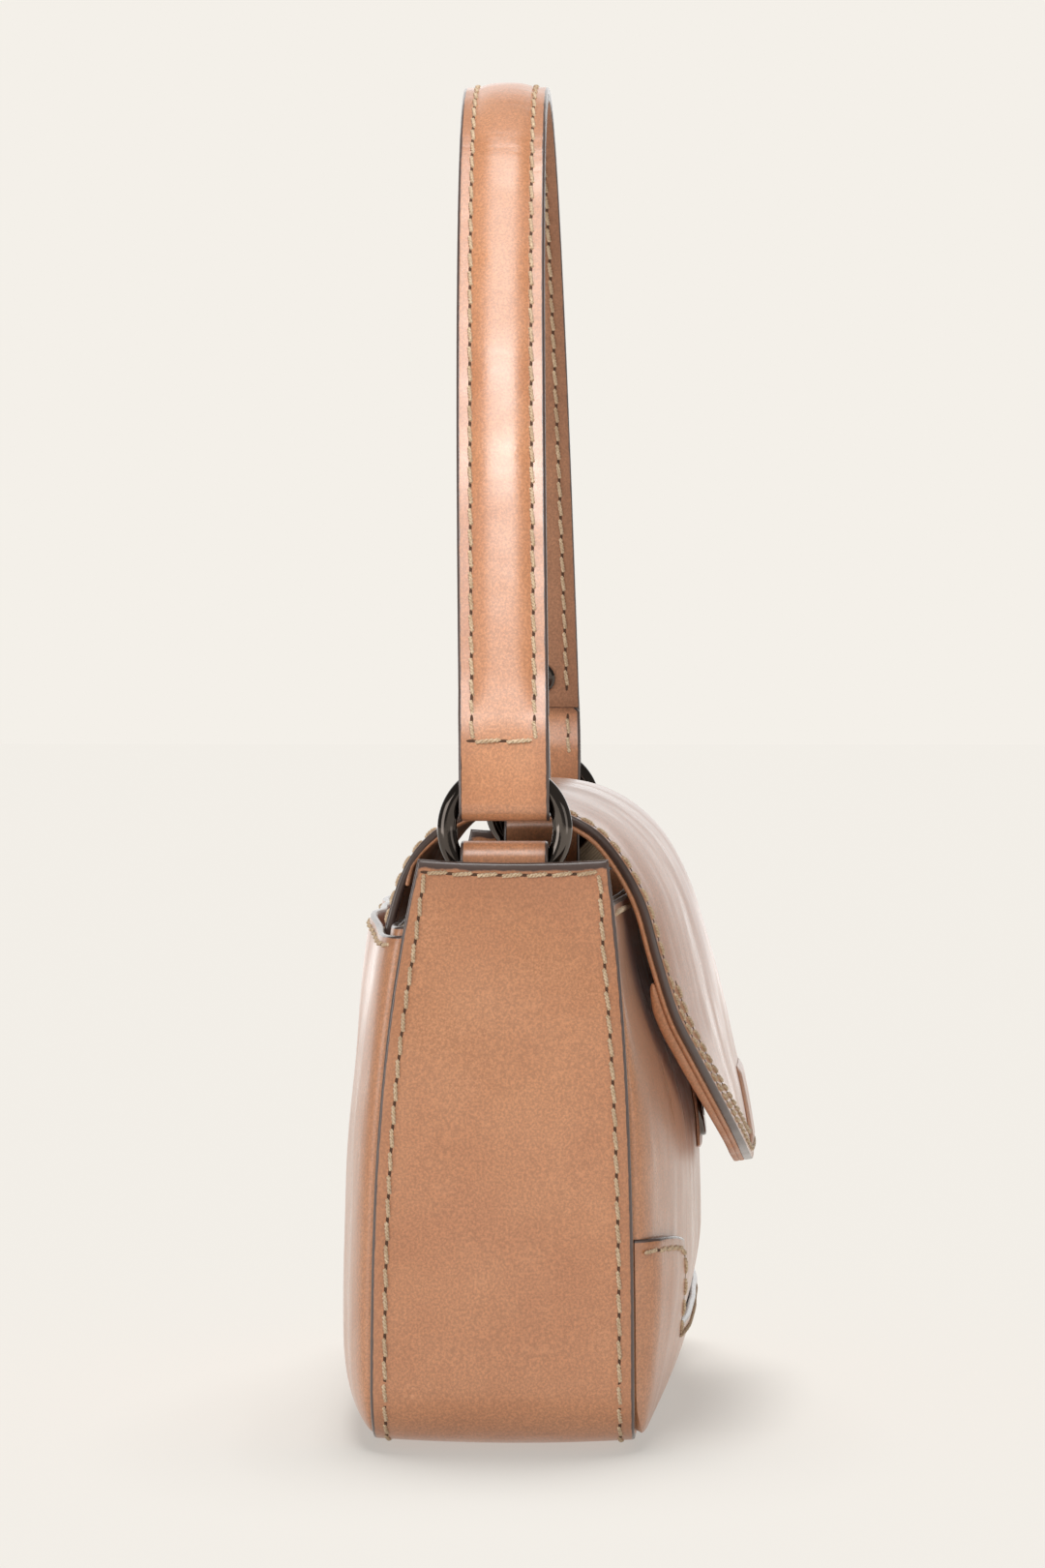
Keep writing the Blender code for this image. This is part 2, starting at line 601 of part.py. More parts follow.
# Ring tabs: a strip folded over the ring's lower arc, both ends sewn inside the gusset.
TAB_CLOSE_START = RING_Z - 20 * MM
TAB_CLOSE_END = RING_Z - 28 * MM
tab_turn_z = RING_Z - wire_reach(TAB_HALF_WIDTH) + GAP + STRAP_LEATHER - LOOP_RADIUS
bend = np.linspace(0, math.pi, 11)
closed_x = TAB_OUTER_X - 2 * STRAP_LEATHER - GAP
open_x = RING_X - LOOP_RADIUS
close_shares = np.linspace(0, 1, 6)
tab_path = [(-TAB_OUTER_X, TAB_BOTTOM), (-TAB_OUTER_X, (TAB_BOTTOM + tab_turn_z) / 2)]
tab_path += [(-RING_X - LOOP_RADIUS * math.cos(a), tab_turn_z + LOOP_RADIUS * math.sin(a)) for a in bend]
tab_path += [(-open_x + (open_x - closed_x) * smooth_share(share),
              TAB_CLOSE_START + (TAB_CLOSE_END - TAB_CLOSE_START) * share) for share in close_shares]
tab_path += [(-closed_x, TAB_BOTTOM)]
for end_name, end in END_SIDES:
    route = tab_path if end < 0 else [(-x, z) for x, z in reversed(tab_path)]
    strip_solid("ring_tab_" + end_name, route, TAB_HALF_WIDTH, STRAP_LEATHER, TAN_LEATHER)

# Handle: its outer leather is folded round both rings, and its tails lie between the layers.
ARCH_BASE = RING_Z + RING_RADIUS
ARCH_HALF = RING_X + LOOP_RADIUS
ARCH_RISE = HANDLE_TOP - ARCH_BASE
ARCH_ELLIPSE_SHARE = 0.35
TAIL_END_SHARE = 0.13
TAIL_START_SHARE = 0.047
LINING_START_SHARE = 0.052
PAD_START_SHARE = 0.135
ARCH_STEPS = 22


def arch(share):
    """The left half of the handle's outer face: x and z at a share of the quarter turn."""
    angle = np.asarray(share) * math.pi / 2
    rise = np.sin(angle)
    spread = (ARCH_ELLIPSE_SHARE * np.cos(angle) + (1 - ARCH_ELLIPSE_SHARE) * np.sqrt(1 - rise))
    return np.stack([-ARCH_HALF * spread, ARCH_BASE + ARCH_RISE * rise], axis=-1)


ARCH_STEP_SHARE = 0.001


def arch_offset(share, depth):
    """A point at a depth inside the handle's outer face."""
    point = arch(share)
    along = arch(share + ARCH_STEP_SHARE) - arch(share - ARCH_STEP_SHARE)
    along = along / np.linalg.norm(along)
    return point - depth * np.array([-along[1], along[0]])


def handle_lean(z):
    """The handle leans a little to the back."""
    return HANDLE_LEAN * np.clip((z - ARCH_BASE) / ARCH_RISE, 0, 1)


def mirrored(half):
    """A whole path from its left half, whose last point is on the middle plane."""
    half = [tuple(point) for point in half]
    return np.array(half + [(-x, z) for x, z in reversed(half[:-1])])


arch_shares = np.linspace(0, 1, ARCH_STEPS + 1)
arch_half = [arch(share) for share in arch_shares[:-1]] + [np.array([0.0, HANDLE_TOP])]
tail_depth = 2 * STRAP_LEATHER + GAP
tail = [arch_offset(share, tail_depth) for share in np.linspace(TAIL_END_SHARE, TAIL_START_SHARE, 4)]
fold_z = RING_Z + wire_reach(STRAP_HALF_WIDTH) - GAP - STRAP_LEATHER + LOOP_RADIUS
beside = np.array([-RING_X + LOOP_RADIUS, ARCH_BASE + GAP])
swing = [tail[-1] + (beside - tail[-1]) * np.array([smooth_share(share), share])
         for share in (0.25, 0.5, 0.75, 1.0)]
fold = [(-RING_X + LOOP_RADIUS * math.cos(a), fold_z - LOOP_RADIUS * math.sin(a)) for a in bend]
left_half = [*tail, *swing, *fold, *arch_half]
outer_path = mirrored(left_half)
tail_rows = len(tail) + len(swing) + len(fold)

PAD_HALF_WIDTH = 6 * MM
PAD_SLOPE = 3.5 * MM
PAD_EASE_SHARE = 0.05
across = np.array([-STRAP_HALF_WIDTH, -PAD_HALF_WIDTH - PAD_SLOPE, -PAD_HALF_WIDTH, 0,
                   PAD_HALF_WIDTH, PAD_HALF_WIDTH + PAD_SLOPE, STRAP_HALF_WIDTH])
row_share = np.concatenate([np.zeros(tail_rows), arch_shares])
row_share = np.concatenate([row_share, row_share[:-1][::-1]])
padded = smooth_share((row_share - PAD_START_SHARE + PAD_EASE_SHARE) / PAD_EASE_SHARE)
edge_drop = smooth_share((np.abs(across) - PAD_HALF_WIDTH) / PAD_SLOPE) * HANDLE_PAD
outer_points = np.array([[(x, y, z) for y in across] for x, z in outer_path])
outer_points[:, :, 1] += handle_lean(outer_points[:, :, 2])
outer_faces = grid_faces(len(outer_path), len(across), True)
outer_drop = padded[:, None] * edge_drop[None, :]
sheet_solid("handle_outer", outer_points.reshape(-1, 3), outer_faces, -outer_drop.ravel(),
            -outer_drop.ravel() - STRAP_LEATHER, TAN_LEATHER)

slot_depth = STRAP_LEATHER + GAP
pad_shares = np.linspace(PAD_START_SHARE, 1, ARCH_STEPS)
pad_half = [arch_offset(share, slot_depth) for share in pad_shares[:-1]]
pad_path = mirrored([*pad_half, (0.0, HANDLE_TOP - slot_depth)])
strip_solid("handle_filler", pad_path, PAD_HALF_WIDTH, HANDLE_PAD, FOAM, columns=3, lean=handle_lean)

handle_lining_depth = slot_depth + HANDLE_PAD + GAP
lining_shares = np.linspace(LINING_START_SHARE, 1, ARCH_STEPS)
lining_half = [arch_offset(share, handle_lining_depth) for share in lining_shares[:-1]]
lining_path = mirrored([*lining_half, (0.0, HANDLE_TOP - handle_lining_depth)])
handle_lining = strip_solid("handle_lining", lining_path, STRAP_HALF_WIDTH, HANDLE_LINING, LINING_LEATHER,
                            columns=5, lean=handle_lean)

# Handle rivets: a cap on the lining of each leg, its post set through the lining.
RIVET_SHARE = 0.083
RIVET_RADIUS = 5 * MM
RIVET_CAP = 1.5 * MM
RIVET_POST_RADIUS = 1.3 * MM
POST_CLEARANCE = 0.3 * MM
rivet_base = arch_offset(RIVET_SHARE, handle_lining_depth + HANDLE_LINING + GAP)
rivet_out = arch_offset(RIVET_SHARE, handle_lining_depth + HANDLE_LINING + 2 * GAP) - rivet_base
cap_shares = ((1.0, 0.0), (1.0, 0.25), (0.85, 0.7), (0.5, 0.95), (0.0, 1.0))
for end_name, end in END_SIDES:
    centre = (-end * rivet_base[0], handle_lean(rivet_base[1]), rivet_base[1])
    place = facing((-end * rivet_out[0], 0, rivet_out[1]), centre)
    post = [(0, -HANDLE_LINING), (RIVET_POST_RADIUS, -HANDLE_LINING), (RIVET_POST_RADIUS, 0)]
    cap = [(radius * RIVET_RADIUS, height * RIVET_CAP) for radius, height in cap_shares]
    turned("handle_rivet_" + end_name, post + cap, place, GUNMETAL)
    hole_radius = RIVET_POST_RADIUS + POST_CLEARANCE
    hole = turned("rivet_hole_" + end_name, [(0, -2 * HANDLE_LINING), (hole_radius, -2 * HANDLE_LINING),
                                             (hole_radius, HANDLE_LINING), (0, HANDLE_LINING)], place, FOAM)
    hole.hide_render = True
    hole.display_type = "WIRE"
    cut = handle_lining.modifiers.new("rivet_hole_" + end_name, "BOOLEAN")
    cut.object = hole
    cut.operation = "DIFFERENCE"
    cut.solver = "EXACT"
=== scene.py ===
import math

import bpy
import numpy as np
from mathutils import Matrix, Vector


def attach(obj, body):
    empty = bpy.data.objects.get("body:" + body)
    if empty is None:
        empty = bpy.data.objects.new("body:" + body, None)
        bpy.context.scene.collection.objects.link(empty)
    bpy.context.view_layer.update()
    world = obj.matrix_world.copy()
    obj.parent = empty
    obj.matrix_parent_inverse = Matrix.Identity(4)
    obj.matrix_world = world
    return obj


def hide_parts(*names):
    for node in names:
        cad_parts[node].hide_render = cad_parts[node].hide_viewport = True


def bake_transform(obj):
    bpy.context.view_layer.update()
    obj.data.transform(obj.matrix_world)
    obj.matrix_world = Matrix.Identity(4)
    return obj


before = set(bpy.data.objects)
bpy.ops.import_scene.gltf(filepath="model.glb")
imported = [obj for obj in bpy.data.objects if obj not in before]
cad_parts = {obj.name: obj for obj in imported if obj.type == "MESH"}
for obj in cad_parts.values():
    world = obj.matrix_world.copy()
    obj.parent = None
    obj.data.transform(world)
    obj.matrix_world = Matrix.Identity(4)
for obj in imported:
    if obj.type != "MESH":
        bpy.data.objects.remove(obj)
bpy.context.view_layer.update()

MM = 0.001
scene = bpy.context.scene

# Camera and studio. The bag is seen from its left end, from 1.44 m away and a little above its
# gusset. Soft lamps light only the bag, two narrow ones only its handle and a broad sun only
# the pale floor, whose own glow makes it as light as the backdrop.
PICTURE_WIDTH = 1080
PICTURE_HEIGHT = 1620
FOCAL_PIXELS = 5443
SENSOR = 36
NEAR_DISTANCE = 1440 * MM
BASE_PIXEL = (520, 1500)
VANISHING_PIXEL = (792, 682)
HALF_LENGTH = 130 * MM
BACKDROP = (0.905, 0.871, 0.815, 1)
ROOM_LIGHT = 0.22
FLOOR_SHARE = 0.34
FLOOR_LAMP = 1.3
FLOOR_LAMP_WIDTH = math.radians(30)
FLOOR_LAMP_TILT = math.radians(15)
FLOOR_HALF = 12
FLOOR_DROP = 0.4 * MM
LAMP_AIM = 0.17
STRAP_LAMP_AIM = 0.3


def placed(name, data, where=Matrix()):
    """A new object in the scene."""
    made = bpy.data.objects.new(name, data)
    made.matrix_world = where
    scene.collection.objects.link(made)
    return made


def node(tree, kind, links=(), **values):
    """A node with its settings, its typed inputs and its links from other nodes' outputs."""
    made = tree.nodes.new(kind)
    for name, value in values.items():
        setattr(made, name, value)
    for name, source in dict(links).items():
        if isinstance(source, bpy.types.NodeSocket):
            tree.links.new(source, made.inputs[name])
        else:
            made.inputs[name].default_value = source
    return made


def new_finish(name, **settings):
    """A new material, its node tree and its shader, whose plain settings are made."""
    made = bpy.data.materials.new(name)
    made.use_nodes = True
    shader = made.node_tree.nodes["Principled BSDF"]
    for setting, value in settings.items():
        shader.inputs[setting.replace("_", " ")].default_value = value
    return made, made.node_tree, shader.inputs


turn = math.atan((VANISHING_PIXEL[0] - PICTURE_WIDTH / 2) / FOCAL_PIXELS)
dip = math.atan((PICTURE_HEIGHT / 2 - VANISHING_PIXEL[1]) / FOCAL_PIXELS)
forward = Vector((math.cos(dip) * math.cos(turn), math.cos(dip) * math.sin(turn), -math.sin(dip)))
rightward = forward.cross(Vector((0, 0, 1))).normalized()
upward = rightward.cross(forward)
near_scale = NEAR_DISTANCE / FOCAL_PIXELS
base_right = (BASE_PIXEL[0] - PICTURE_WIDTH / 2) * near_scale
base_up = (PICTURE_HEIGHT / 2 - BASE_PIXEL[1]) * near_scale
eye = Vector((-HALF_LENGTH, 0, 0)) - rightward * base_right - upward * base_up - forward * NEAR_DISTANCE
lens = bpy.data.cameras.new("camera")
lens.sensor_width = SENSOR
lens.lens = SENSOR * FOCAL_PIXELS / PICTURE_HEIGHT
axes = Matrix((rightward, upward, -forward)).transposed().to_4x4()
scene.camera = placed("camera", lens, Matrix.Translation(eye) @ axes)
scene.view_settings.view_transform = "Standard"

world = bpy.data.worlds.new("studio")
world.use_nodes = True
air = world.node_tree
air.nodes.clear()
seen = node(air, "ShaderNodeBackground", {"Color": BACKDROP})
room = node(air, "ShaderNodeBackground", {"Color": BACKDROP, "Strength": ROOM_LIGHT})
in_camera = node(air, "ShaderNodeLightPath").outputs["Is Camera Ray"]
either = node(air, "ShaderNodeMixShader", {0: in_camera, 1: room.outputs[0], 2: seen.outputs[0]})
node(air, "ShaderNodeOutputWorld", {"Surface": either.outputs[0]})
scene.world = world

floor_glow = 1 - FLOOR_SHARE * (ROOM_LIGHT + FLOOR_LAMP)
floor_paint = new_finish("floor", Base_Color=(FLOOR_SHARE, FLOOR_SHARE, FLOOR_SHARE, 1), Roughness=1,
                         Specular_IOR_Level=0, Emission_Color=BACKDROP, Emission_Strength=floor_glow)[0]
floor_mesh = bpy.data.meshes.new("floor")
floor_mesh.from_pydata([(x * FLOOR_HALF, y * FLOOR_HALF, -FLOOR_DROP)
                        for x, y in [(-1, -1), (1, -1), (1, 1), (-1, 1)]], [], [(0, 1, 2, 3)])
floor_mesh.materials.append(floor_paint)
floor = placed("floor", floor_mesh)
all_but_floor = bpy.data.collections.new("unlit_by_lamps")
all_but_floor.objects.link(floor)
all_but_floor.collection_objects[0].light_linking.link_state = "EXCLUDE"
only_strap = bpy.data.collections.new("lit_as_strap")
only_floor = bpy.data.collections.new("lit_from_above")
only_floor.objects.link(floor)

for name, place, size, watts, aim, lit in [
        ("lamp_high", (-1.95, 0.1, 1.9), (1.3, 1.3), 29, LAMP_AIM, all_but_floor),
        ("lamp_end", (-1.3, 1.6, 0.3), (1.2, 1.2), 12, LAMP_AIM, all_but_floor),
        ("lamp_front", (-1.3, -1.8, 0.4), (1.0, 1.0), 3, LAMP_AIM, all_but_floor),
        ("lamp_far", (2.35, 0.25, 1.0), (3.4, 3.4), 41, LAMP_AIM, all_but_floor),
        ("lamp_strap_low", (-1.25, 0, 1.75), (0.7, 0.9), 10, STRAP_LAMP_AIM, only_strap),
        ("lamp_strap_high", (-0.35, 0, 2.2), (0.7, 0.9), 12, STRAP_LAMP_AIM, only_strap)]:
    light = bpy.data.lights.new(name, "AREA")
    light.shape = "RECTANGLE"
    light.size, light.size_y = size
    light.energy = watts
    place = Vector(place)
    aimed = (place - Vector((0, 0, aim))).to_track_quat("Z", "Y").to_matrix().to_4x4()
    lamp = placed(name, light, Matrix.Translation(place) @ aimed)
    lamp.light_linking.receiver_collection = lit
    lamp.visible_camera = False
light = bpy.data.lights.new("lamp_floor", "SUN")
light.angle = FLOOR_LAMP_WIDTH
light.energy = FLOOR_LAMP * math.pi
light.color = BACKDROP[:3]
sun = placed("lamp_floor", light, Matrix.Rotation(FLOOR_LAMP_TILT, 4, "Y"))
sun.light_linking.receiver_collection = only_floor

# Gusset: one strip of thick waxed leather that runs down one end, under the base and up the
# other end. Its cut edges are painted dark, and lap over the front and the back.
GUSSET_HEIGHT = 162 * MM
BASE_FRONT = 35.8 * MM
BASE_BACK = 36.5 * MM
TOP_FRONT = 28.6 * MM
TOP_BACK = 23.3 * MM
TAPER_POWER = 2.9
CORNER_RADIUS = 18 * MM
BAND_LEATHER = 2.4 * MM
EDGE_ROUND = 0.7 * MM
GUSSET_BOW = 1.3 * MM
GUSSET_SAG = 0.9 * MM
SAG_RUN = 30 * MM
BASE_LIFT = 1.2 * MM
BAND_SIDE_ROWS = 56
BAND_CORNER_ROWS = 10
BAND_BASE_ROWS = 30
BAND_COLUMNS = 24
BAND_WAVE_SIZE = 70 * MM
BAND_WAVE = 0.35 * MM
BAND_WAVE_RUN = 20 * MM
ROUND_LINES = (0.3, 1.0)
ROUND_LIMIT = 0.6
SIDES = {"first_row": (0, False), "last_row": (0, True), "first_column": (1, False), "last_column": (1, True)}
ALL_SIDES = tuple(SIDES)
SHARP_ANGLE = math.radians(55)
PAINT_SHARE = 0.35


def smooth_share(share):
    """An S-curve from 0 to 1."""
    share = np.clip(share, 0.0, 1.0)
    return share * share * (3 - 2 * share)


def round_share(share, power):
    """A quarter of a superellipse: steep at share 0 and level at share 1."""
    return (1 - (1 - np.clip(share, 0.0, 1.0)) ** power) ** (1 / power)


def from_side(lines, side):
    """A grid turned so that one of its sides comes first."""
    axis, last = SIDES[side]
    lines = np.moveaxis(lines, axis, 0)
    return lines[::-1] if last else lines


def to_side(lines, side):
    """The reverse of from_side."""
    axis, last = SIDES[side]
    return np.moveaxis(lines[::-1] if last else lines, 0, axis)


def runs(points):
    """The length along lines of points, from 0 at the first."""
    run = np.cumsum(np.linalg.norm(np.diff(points, axis=0), axis=-1), axis=0)
    return np.concatenate([np.zeros_like(run[:1]), run])


def with_round_lines(grid, sides, radius):
    """The grid with extra lines close to its cut sides, for their rounding."""
    for side in sides:
        lines = from_side(grid, side)
        step = lines[1] - lines[0]
        close = np.minimum(radius / np.linalg.norm(step, axis=-1, keepdims=True), ROUND_LIMIT)
        extra = [lines[:1] + step[None] * share * close for share in ROUND_LINES]
        grid = to_side(np.concatenate([lines[:1], *extra, lines[1:]]), side)
    return grid


def border_distance(grid, sides):
    """How far each grid point lies from the nearest cut side."""
    nearest = np.full(grid.shape[:2], 1.0)
    for side in sides:
        nearest = np.minimum(nearest, to_side(runs(from_side(grid, side)), side))
    return nearest


def grid_faces(rows, columns, flip=False):
    """Faces of a grid of rows times columns points, turned over on request."""
    start = (np.arange(rows - 1)[:, None] * columns + np.arange(columns - 1)).ravel()
    faces = np.stack([start, start + 1, start + columns + 1, start + columns], axis=1)
    return faces[:, ::-1] if flip else faces


def even_normals(points, faces):
    """Directions at right angles to a sheet."""
    corners = points[faces]
    normal = np.cross(corners[:, 2] - corners[:, 0], corners[:, 3] - corners[:, 1])
    total = np.zeros_like(points)
    for corner in range(4):
        np.add.at(total, faces[:, corner], normal)
    return total / np.maximum(np.linalg.norm(total, axis=1), 1e-12)[:, None]


def new_piece(name, points, faces, finish, sharp=SHARP_ANGLE):
    """A smooth mesh of one finish, sharp only at its hard edges."""
    mesh = bpy.data.meshes.new(name)
    mesh.from_pydata(np.asarray(points).tolist(), [], faces)
    mesh.materials.append(finish)
    mesh.shade_smooth()
    mesh.set_sharp_from_angle(angle=sharp)
    return placed(name, mesh)


def sheet_piece(name, points, faces, near, far, border, finish, radius=EDGE_ROUND, painted=None):
    """A cut sheet between two offsets of a surface, its free edges rounded."""
    painted = border if painted is None else painted
    normals = even_normals(points, faces)
    share = np.clip(1 - border.ravel() / radius, 0, 1)
    drop = radius * (1 - np.sqrt(1 - share ** 2))
    near = np.broadcast_to(near, border.shape).ravel() - drop
    far = np.broadcast_to(far, border.shape).ravel() + drop
    count = len(points)
    both = np.vstack([points + normals * near[:, None], points + normals * far[:, None]])
    edges = np.stack([faces, np.roll(faces, -1, axis=1)], axis=-1).reshape(-1, 2).tolist()
    known = {tuple(edge) for edge in edges}
    rim = [(b, a, a + count, b + count) for a, b in edges if (b, a) not in known]
    made = new_piece(name, both, faces.tolist() + (faces[:, ::-1] + count).tolist() + rim, finish)
    paint = made.data.attributes.new("border", "FLOAT", "POINT")
    paint.data.foreach_set("value", np.tile(painted.ravel(), 2).astype(np.float32))
    return made


def grid_piece(name, grid, near, far, sides, finish, flip=False, radius=EDGE_ROUND, heavy=()):
    """A cut sheet on a grid of points. Near and far may follow the distance to its border, and
    the paint laps further over its heavy sides."""
    grid = with_round_lines(grid, sides, radius)
    border = border_distance(grid, sides)
    painted = np.minimum(border, border_distance(grid, heavy) * PAINT_SHARE)
    near = near(border, grid) if callable(near) else near
    far = far(border, grid) if callable(far) else far
    faces = grid_faces(*grid.shape[:2], flip)
    return sheet_piece(name, grid.reshape(-1, 3), faces, near, far, border, finish, radius, painted)


def ripples(points, size, amount):
    """Slow uneven waves, as in leather that has been worn."""
    waves = np.zeros(points.shape[:-1])
    for k, way in enumerate([(1, 0.3, 0.2), (-0.4, 0.9, 0.7), (0.3, -0.6, 1.1), (0.9, 0.8, -0.5)]):
        waves = waves + np.sin((points @ np.array(way)) * 2 * math.pi / size * (1 + 0.37 * k) + 1.7 * k)
    return waves * amount / 4


def first(tree, kind, links=(), **values):
    """A node's first output."""
    return node(tree, kind, links, **values).outputs[0]


def home(*sources):
    """The tree that the first linked source is in."""
    return next(source.id_data for source in sources if isinstance(source, bpy.types.NodeSocket))


def maths(operation, a, b=0.5, c=0.5):
    """The output of one Math node."""
    return first(home(a, b, c), "ShaderNodeMath", {0: a, 1: b, 2: c}, operation=operation)


def between(value, low, high, start=0.0, end=1.0):
    """A value mapped smoothly from one range to another."""
    links = {"Value": value, "From Min": low, "From Max": high, "To Min": start, "To Max": end}
    return first(value.id_data, "ShaderNodeMapRange", links, interpolation_type="SMOOTHSTEP")


def blended(share, a, b, mode="MIX"):
    """The output of one colour Mix node."""
    return node(home(share, a, b), "ShaderNodeMix", {0: share, 6: a, 7: b}, data_type="RGBA",
                blend_type=mode).outputs[2]


def noise(place, scale, detail=2.0, roughness=0.5, distortion=0.0):
    """The values of a noise texture."""
    links = {"Vector": place, "Scale": scale, "Detail": detail, "Roughness": roughness,
             "Distortion": distortion}
    return first(place.id_data, "ShaderNodeTexNoise", links)


def bumped(height, strength, distance, links=()):
    """A surface raised by a height."""
    links = {"Height": height, "Strength": strength, "Distance": distance, **dict(links)}
    return first(height.id_data, "ShaderNodeBump", links)


def object_place(tree):
    """Where a point is on its piece."""
    return node(tree, "ShaderNodeTexCoord").outputs["Object"]


def new_group(name, inputs, outputs):
    """A shader group with its inputs' own values: its tree, its inputs and a point's place."""
    made = bpy.data.node_groups.new(name, "ShaderNodeTree")
    for socket, value in inputs.items():
        new = made.interface.new_socket(socket, in_out="INPUT", socket_type="NodeSocketFloat")
        new.default_value = value
    for socket in outputs:
        made.interface.new_socket(socket, in_out="OUTPUT", socket_type="NodeSocketFloat")
    return made, made.nodes.new("NodeGroupInput").outputs, object_place(made)


SCUFF_PLACE = (-HALF_LENGTH, 25 * MM, 16 * MM)
grain, given, place = new_group("leather_grain", {"Pore Scale": 1400.0, "Cloud Scale": 26.0},
                                ("Cloud", "Speckle", "Crease", "Swell", "Scuff", "Height"))
pores = first(grain, "ShaderNodeTexVoronoi", {"Vector": place, "Scale": given["Pore Scale"]},
              feature="SMOOTH_F1")
fine = noise(place, given["Pore Scale"], 3.0, 0.7)
pulled = first(grain, "ShaderNodeMapping", {"Vector": place, "Rotation": (0.2, 0.35, 0.1),
                                            "Scale": (1.0, 0.25, 1.0)})
crease = between(noise(pulled, 320.0, 5.0, 0.65, 0.6), 0.56, 0.72)
height = maths("ADD", maths("MULTIPLY", pores, 0.7), maths("MULTIPLY", fine, 0.5))
drawn = first(grain, "ShaderNodeMapping", {"Vector": place, "Scale": (1.0, 0.22, 0.22)})
spot = node(grain, "ShaderNodeVectorMath", {0: place, 1: SCUFF_PLACE}, operation="DISTANCE").outputs["Value"]
broken = between(noise(place, 620.0, 3.0), 0.5, 0.62)
scuff = maths("MULTIPLY", between(spot, 1 * MM, 4.5 * MM, 1.0, 0.0), broken)
node(grain, "NodeGroupOutput", {
    "Cloud": noise(place, given["Cloud Scale"], 4.0, 0.6), "Speckle": fine, "Crease": crease,
    "Swell": noise(drawn, 105.0, 3.0), "Scuff": scuff,
    "Height": maths("SUBTRACT", height, maths("MULTIPLY", crease, 0.15))})

edging, given, place = new_group("painted_edge", {"Border": 1.0, "Amount": 1.0, "Paint Width": 0.5 * MM,
                                                  "Burnish Width": 7 * MM}, ("Paint", "Burnish"))
ragged = maths("SUBTRACT", noise(place, 260.0, 3.0), 0.5)
uneven = maths("MULTIPLY_ADD", ragged, 0.5 * MM, given["Border"])
inner = maths("MULTIPLY", given["Paint Width"], 1.35)
node(edging, "NodeGroupOutput", {
    "Paint": maths("MULTIPLY", between(uneven, given["Paint Width"], inner, 1.0, 0.0), given["Amount"]),
    "Burnish": between(given["Border"], given["Paint Width"], given["Burnish Width"], 1.0, 0.0)})

EDGE_PAINT = (0.075, 0.045, 0.036, 1)
PAINT_ROUGHNESS = 0.26


def tinted(colour, shares):
    """A colour with each of its three values multiplied."""
    return (*(value * share for value, share in zip(colour, shares)), 1)


def leather(name, light, dark, paint_width, roughness, bump, coat, paint_amount=1.0, burnish=0.3):
    """Leather with pores, clouds, fine creases and a dark painted edge."""
    made, tree, shader = new_finish(name, Coat_Weight=coat, Coat_Roughness=0.3, Specular_IOR_Level=0.62,
                                    Sheen_Weight=0.08, Sheen_Roughness=0.4)
    surface = node(tree, "ShaderNodeGroup", node_tree=grain).outputs
    border = node(tree, "ShaderNodeAttribute", attribute_name="border").outputs["Fac"]
    edge = {"Border": border, "Paint Width": paint_width, "Amount": paint_amount}
    cut = node(tree, "ShaderNodeGroup", edge, node_tree=edging).outputs
    colour = blended(between(surface["Cloud"], 0.2, 0.8), dark, light)
    colour = blended(1.0, colour, between(surface["Speckle"], 0.35, 0.68, 0.76, 1.12), "MULTIPLY")
    worn = maths("MULTIPLY_ADD", surface["Scuff"], 0.6, maths("MULTIPLY", surface["Crease"], 0.16))
    colour = blended(worn, colour, tinted(light, (1.25, 1.3, 1.4)))
    colour = blended(maths("MULTIPLY", cut["Burnish"], burnish), colour, tinted(dark, (0.62, 0.56, 0.5)))
    colour = blended(cut["Paint"], colour, EDGE_PAINT)
    tree.links.new(colour, shader["Base Color"])
    dull = between(surface["Cloud"], 0.3, 0.7, roughness + 0.06, roughness - 0.06)
    streaky = maths("MULTIPLY_ADD", maths("SUBTRACT", surface["Swell"], 0.5), 0.8, dull)
    bare = maths("SUBTRACT", 1.0, cut["Paint"])
    gloss = maths("MULTIPLY_ADD", maths("SUBTRACT", streaky, PAINT_ROUGHNESS), bare, PAINT_ROUGHNESS)
    tree.links.new(gloss, shader["Roughness"])
    slow = bumped(surface["Swell"], 0.5, 1.7 * MM)
    tree.links.new(bumped(surface["Height"], bump, 0.12 * MM, {"Normal": slow}), shader["Normal"])
    return made


TAN_LIGHT = (0.62, 0.285, 0.140, 1)
TAN_DARK = (0.52, 0.215, 0.098, 1)
waxed_leather = leather("waxed_leather", TAN_LIGHT, TAN_DARK, paint_width=0.7 * MM, roughness=0.38, bump=0.35,
                        coat=0.7)
bare_leather = leather("bare_edged_leather", TAN_LIGHT, TAN_DARK, paint_width=0.7 * MM, roughness=0.38,
                       bump=0.35, coat=0.7, paint_amount=0.0, burnish=0.15)


def finished(piece, body, slot, *nodes):
    """Say what a piece rides on and hide the solids it stands for. The slot, which names its finish, is not
    used.
    """
    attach(piece, body)
    if nodes:
        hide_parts(*nodes)


def gusset_edge(z, side):
    """Distance of the band's front (-1) or back (1) edge from the middle plane."""
    base, top = (BASE_FRONT, TOP_FRONT) if side < 0 else (BASE_BACK, TOP_BACK)
    return base - (base - top) * np.clip(z / GUSSET_HEIGHT, 0, 1) ** TAPER_POWER


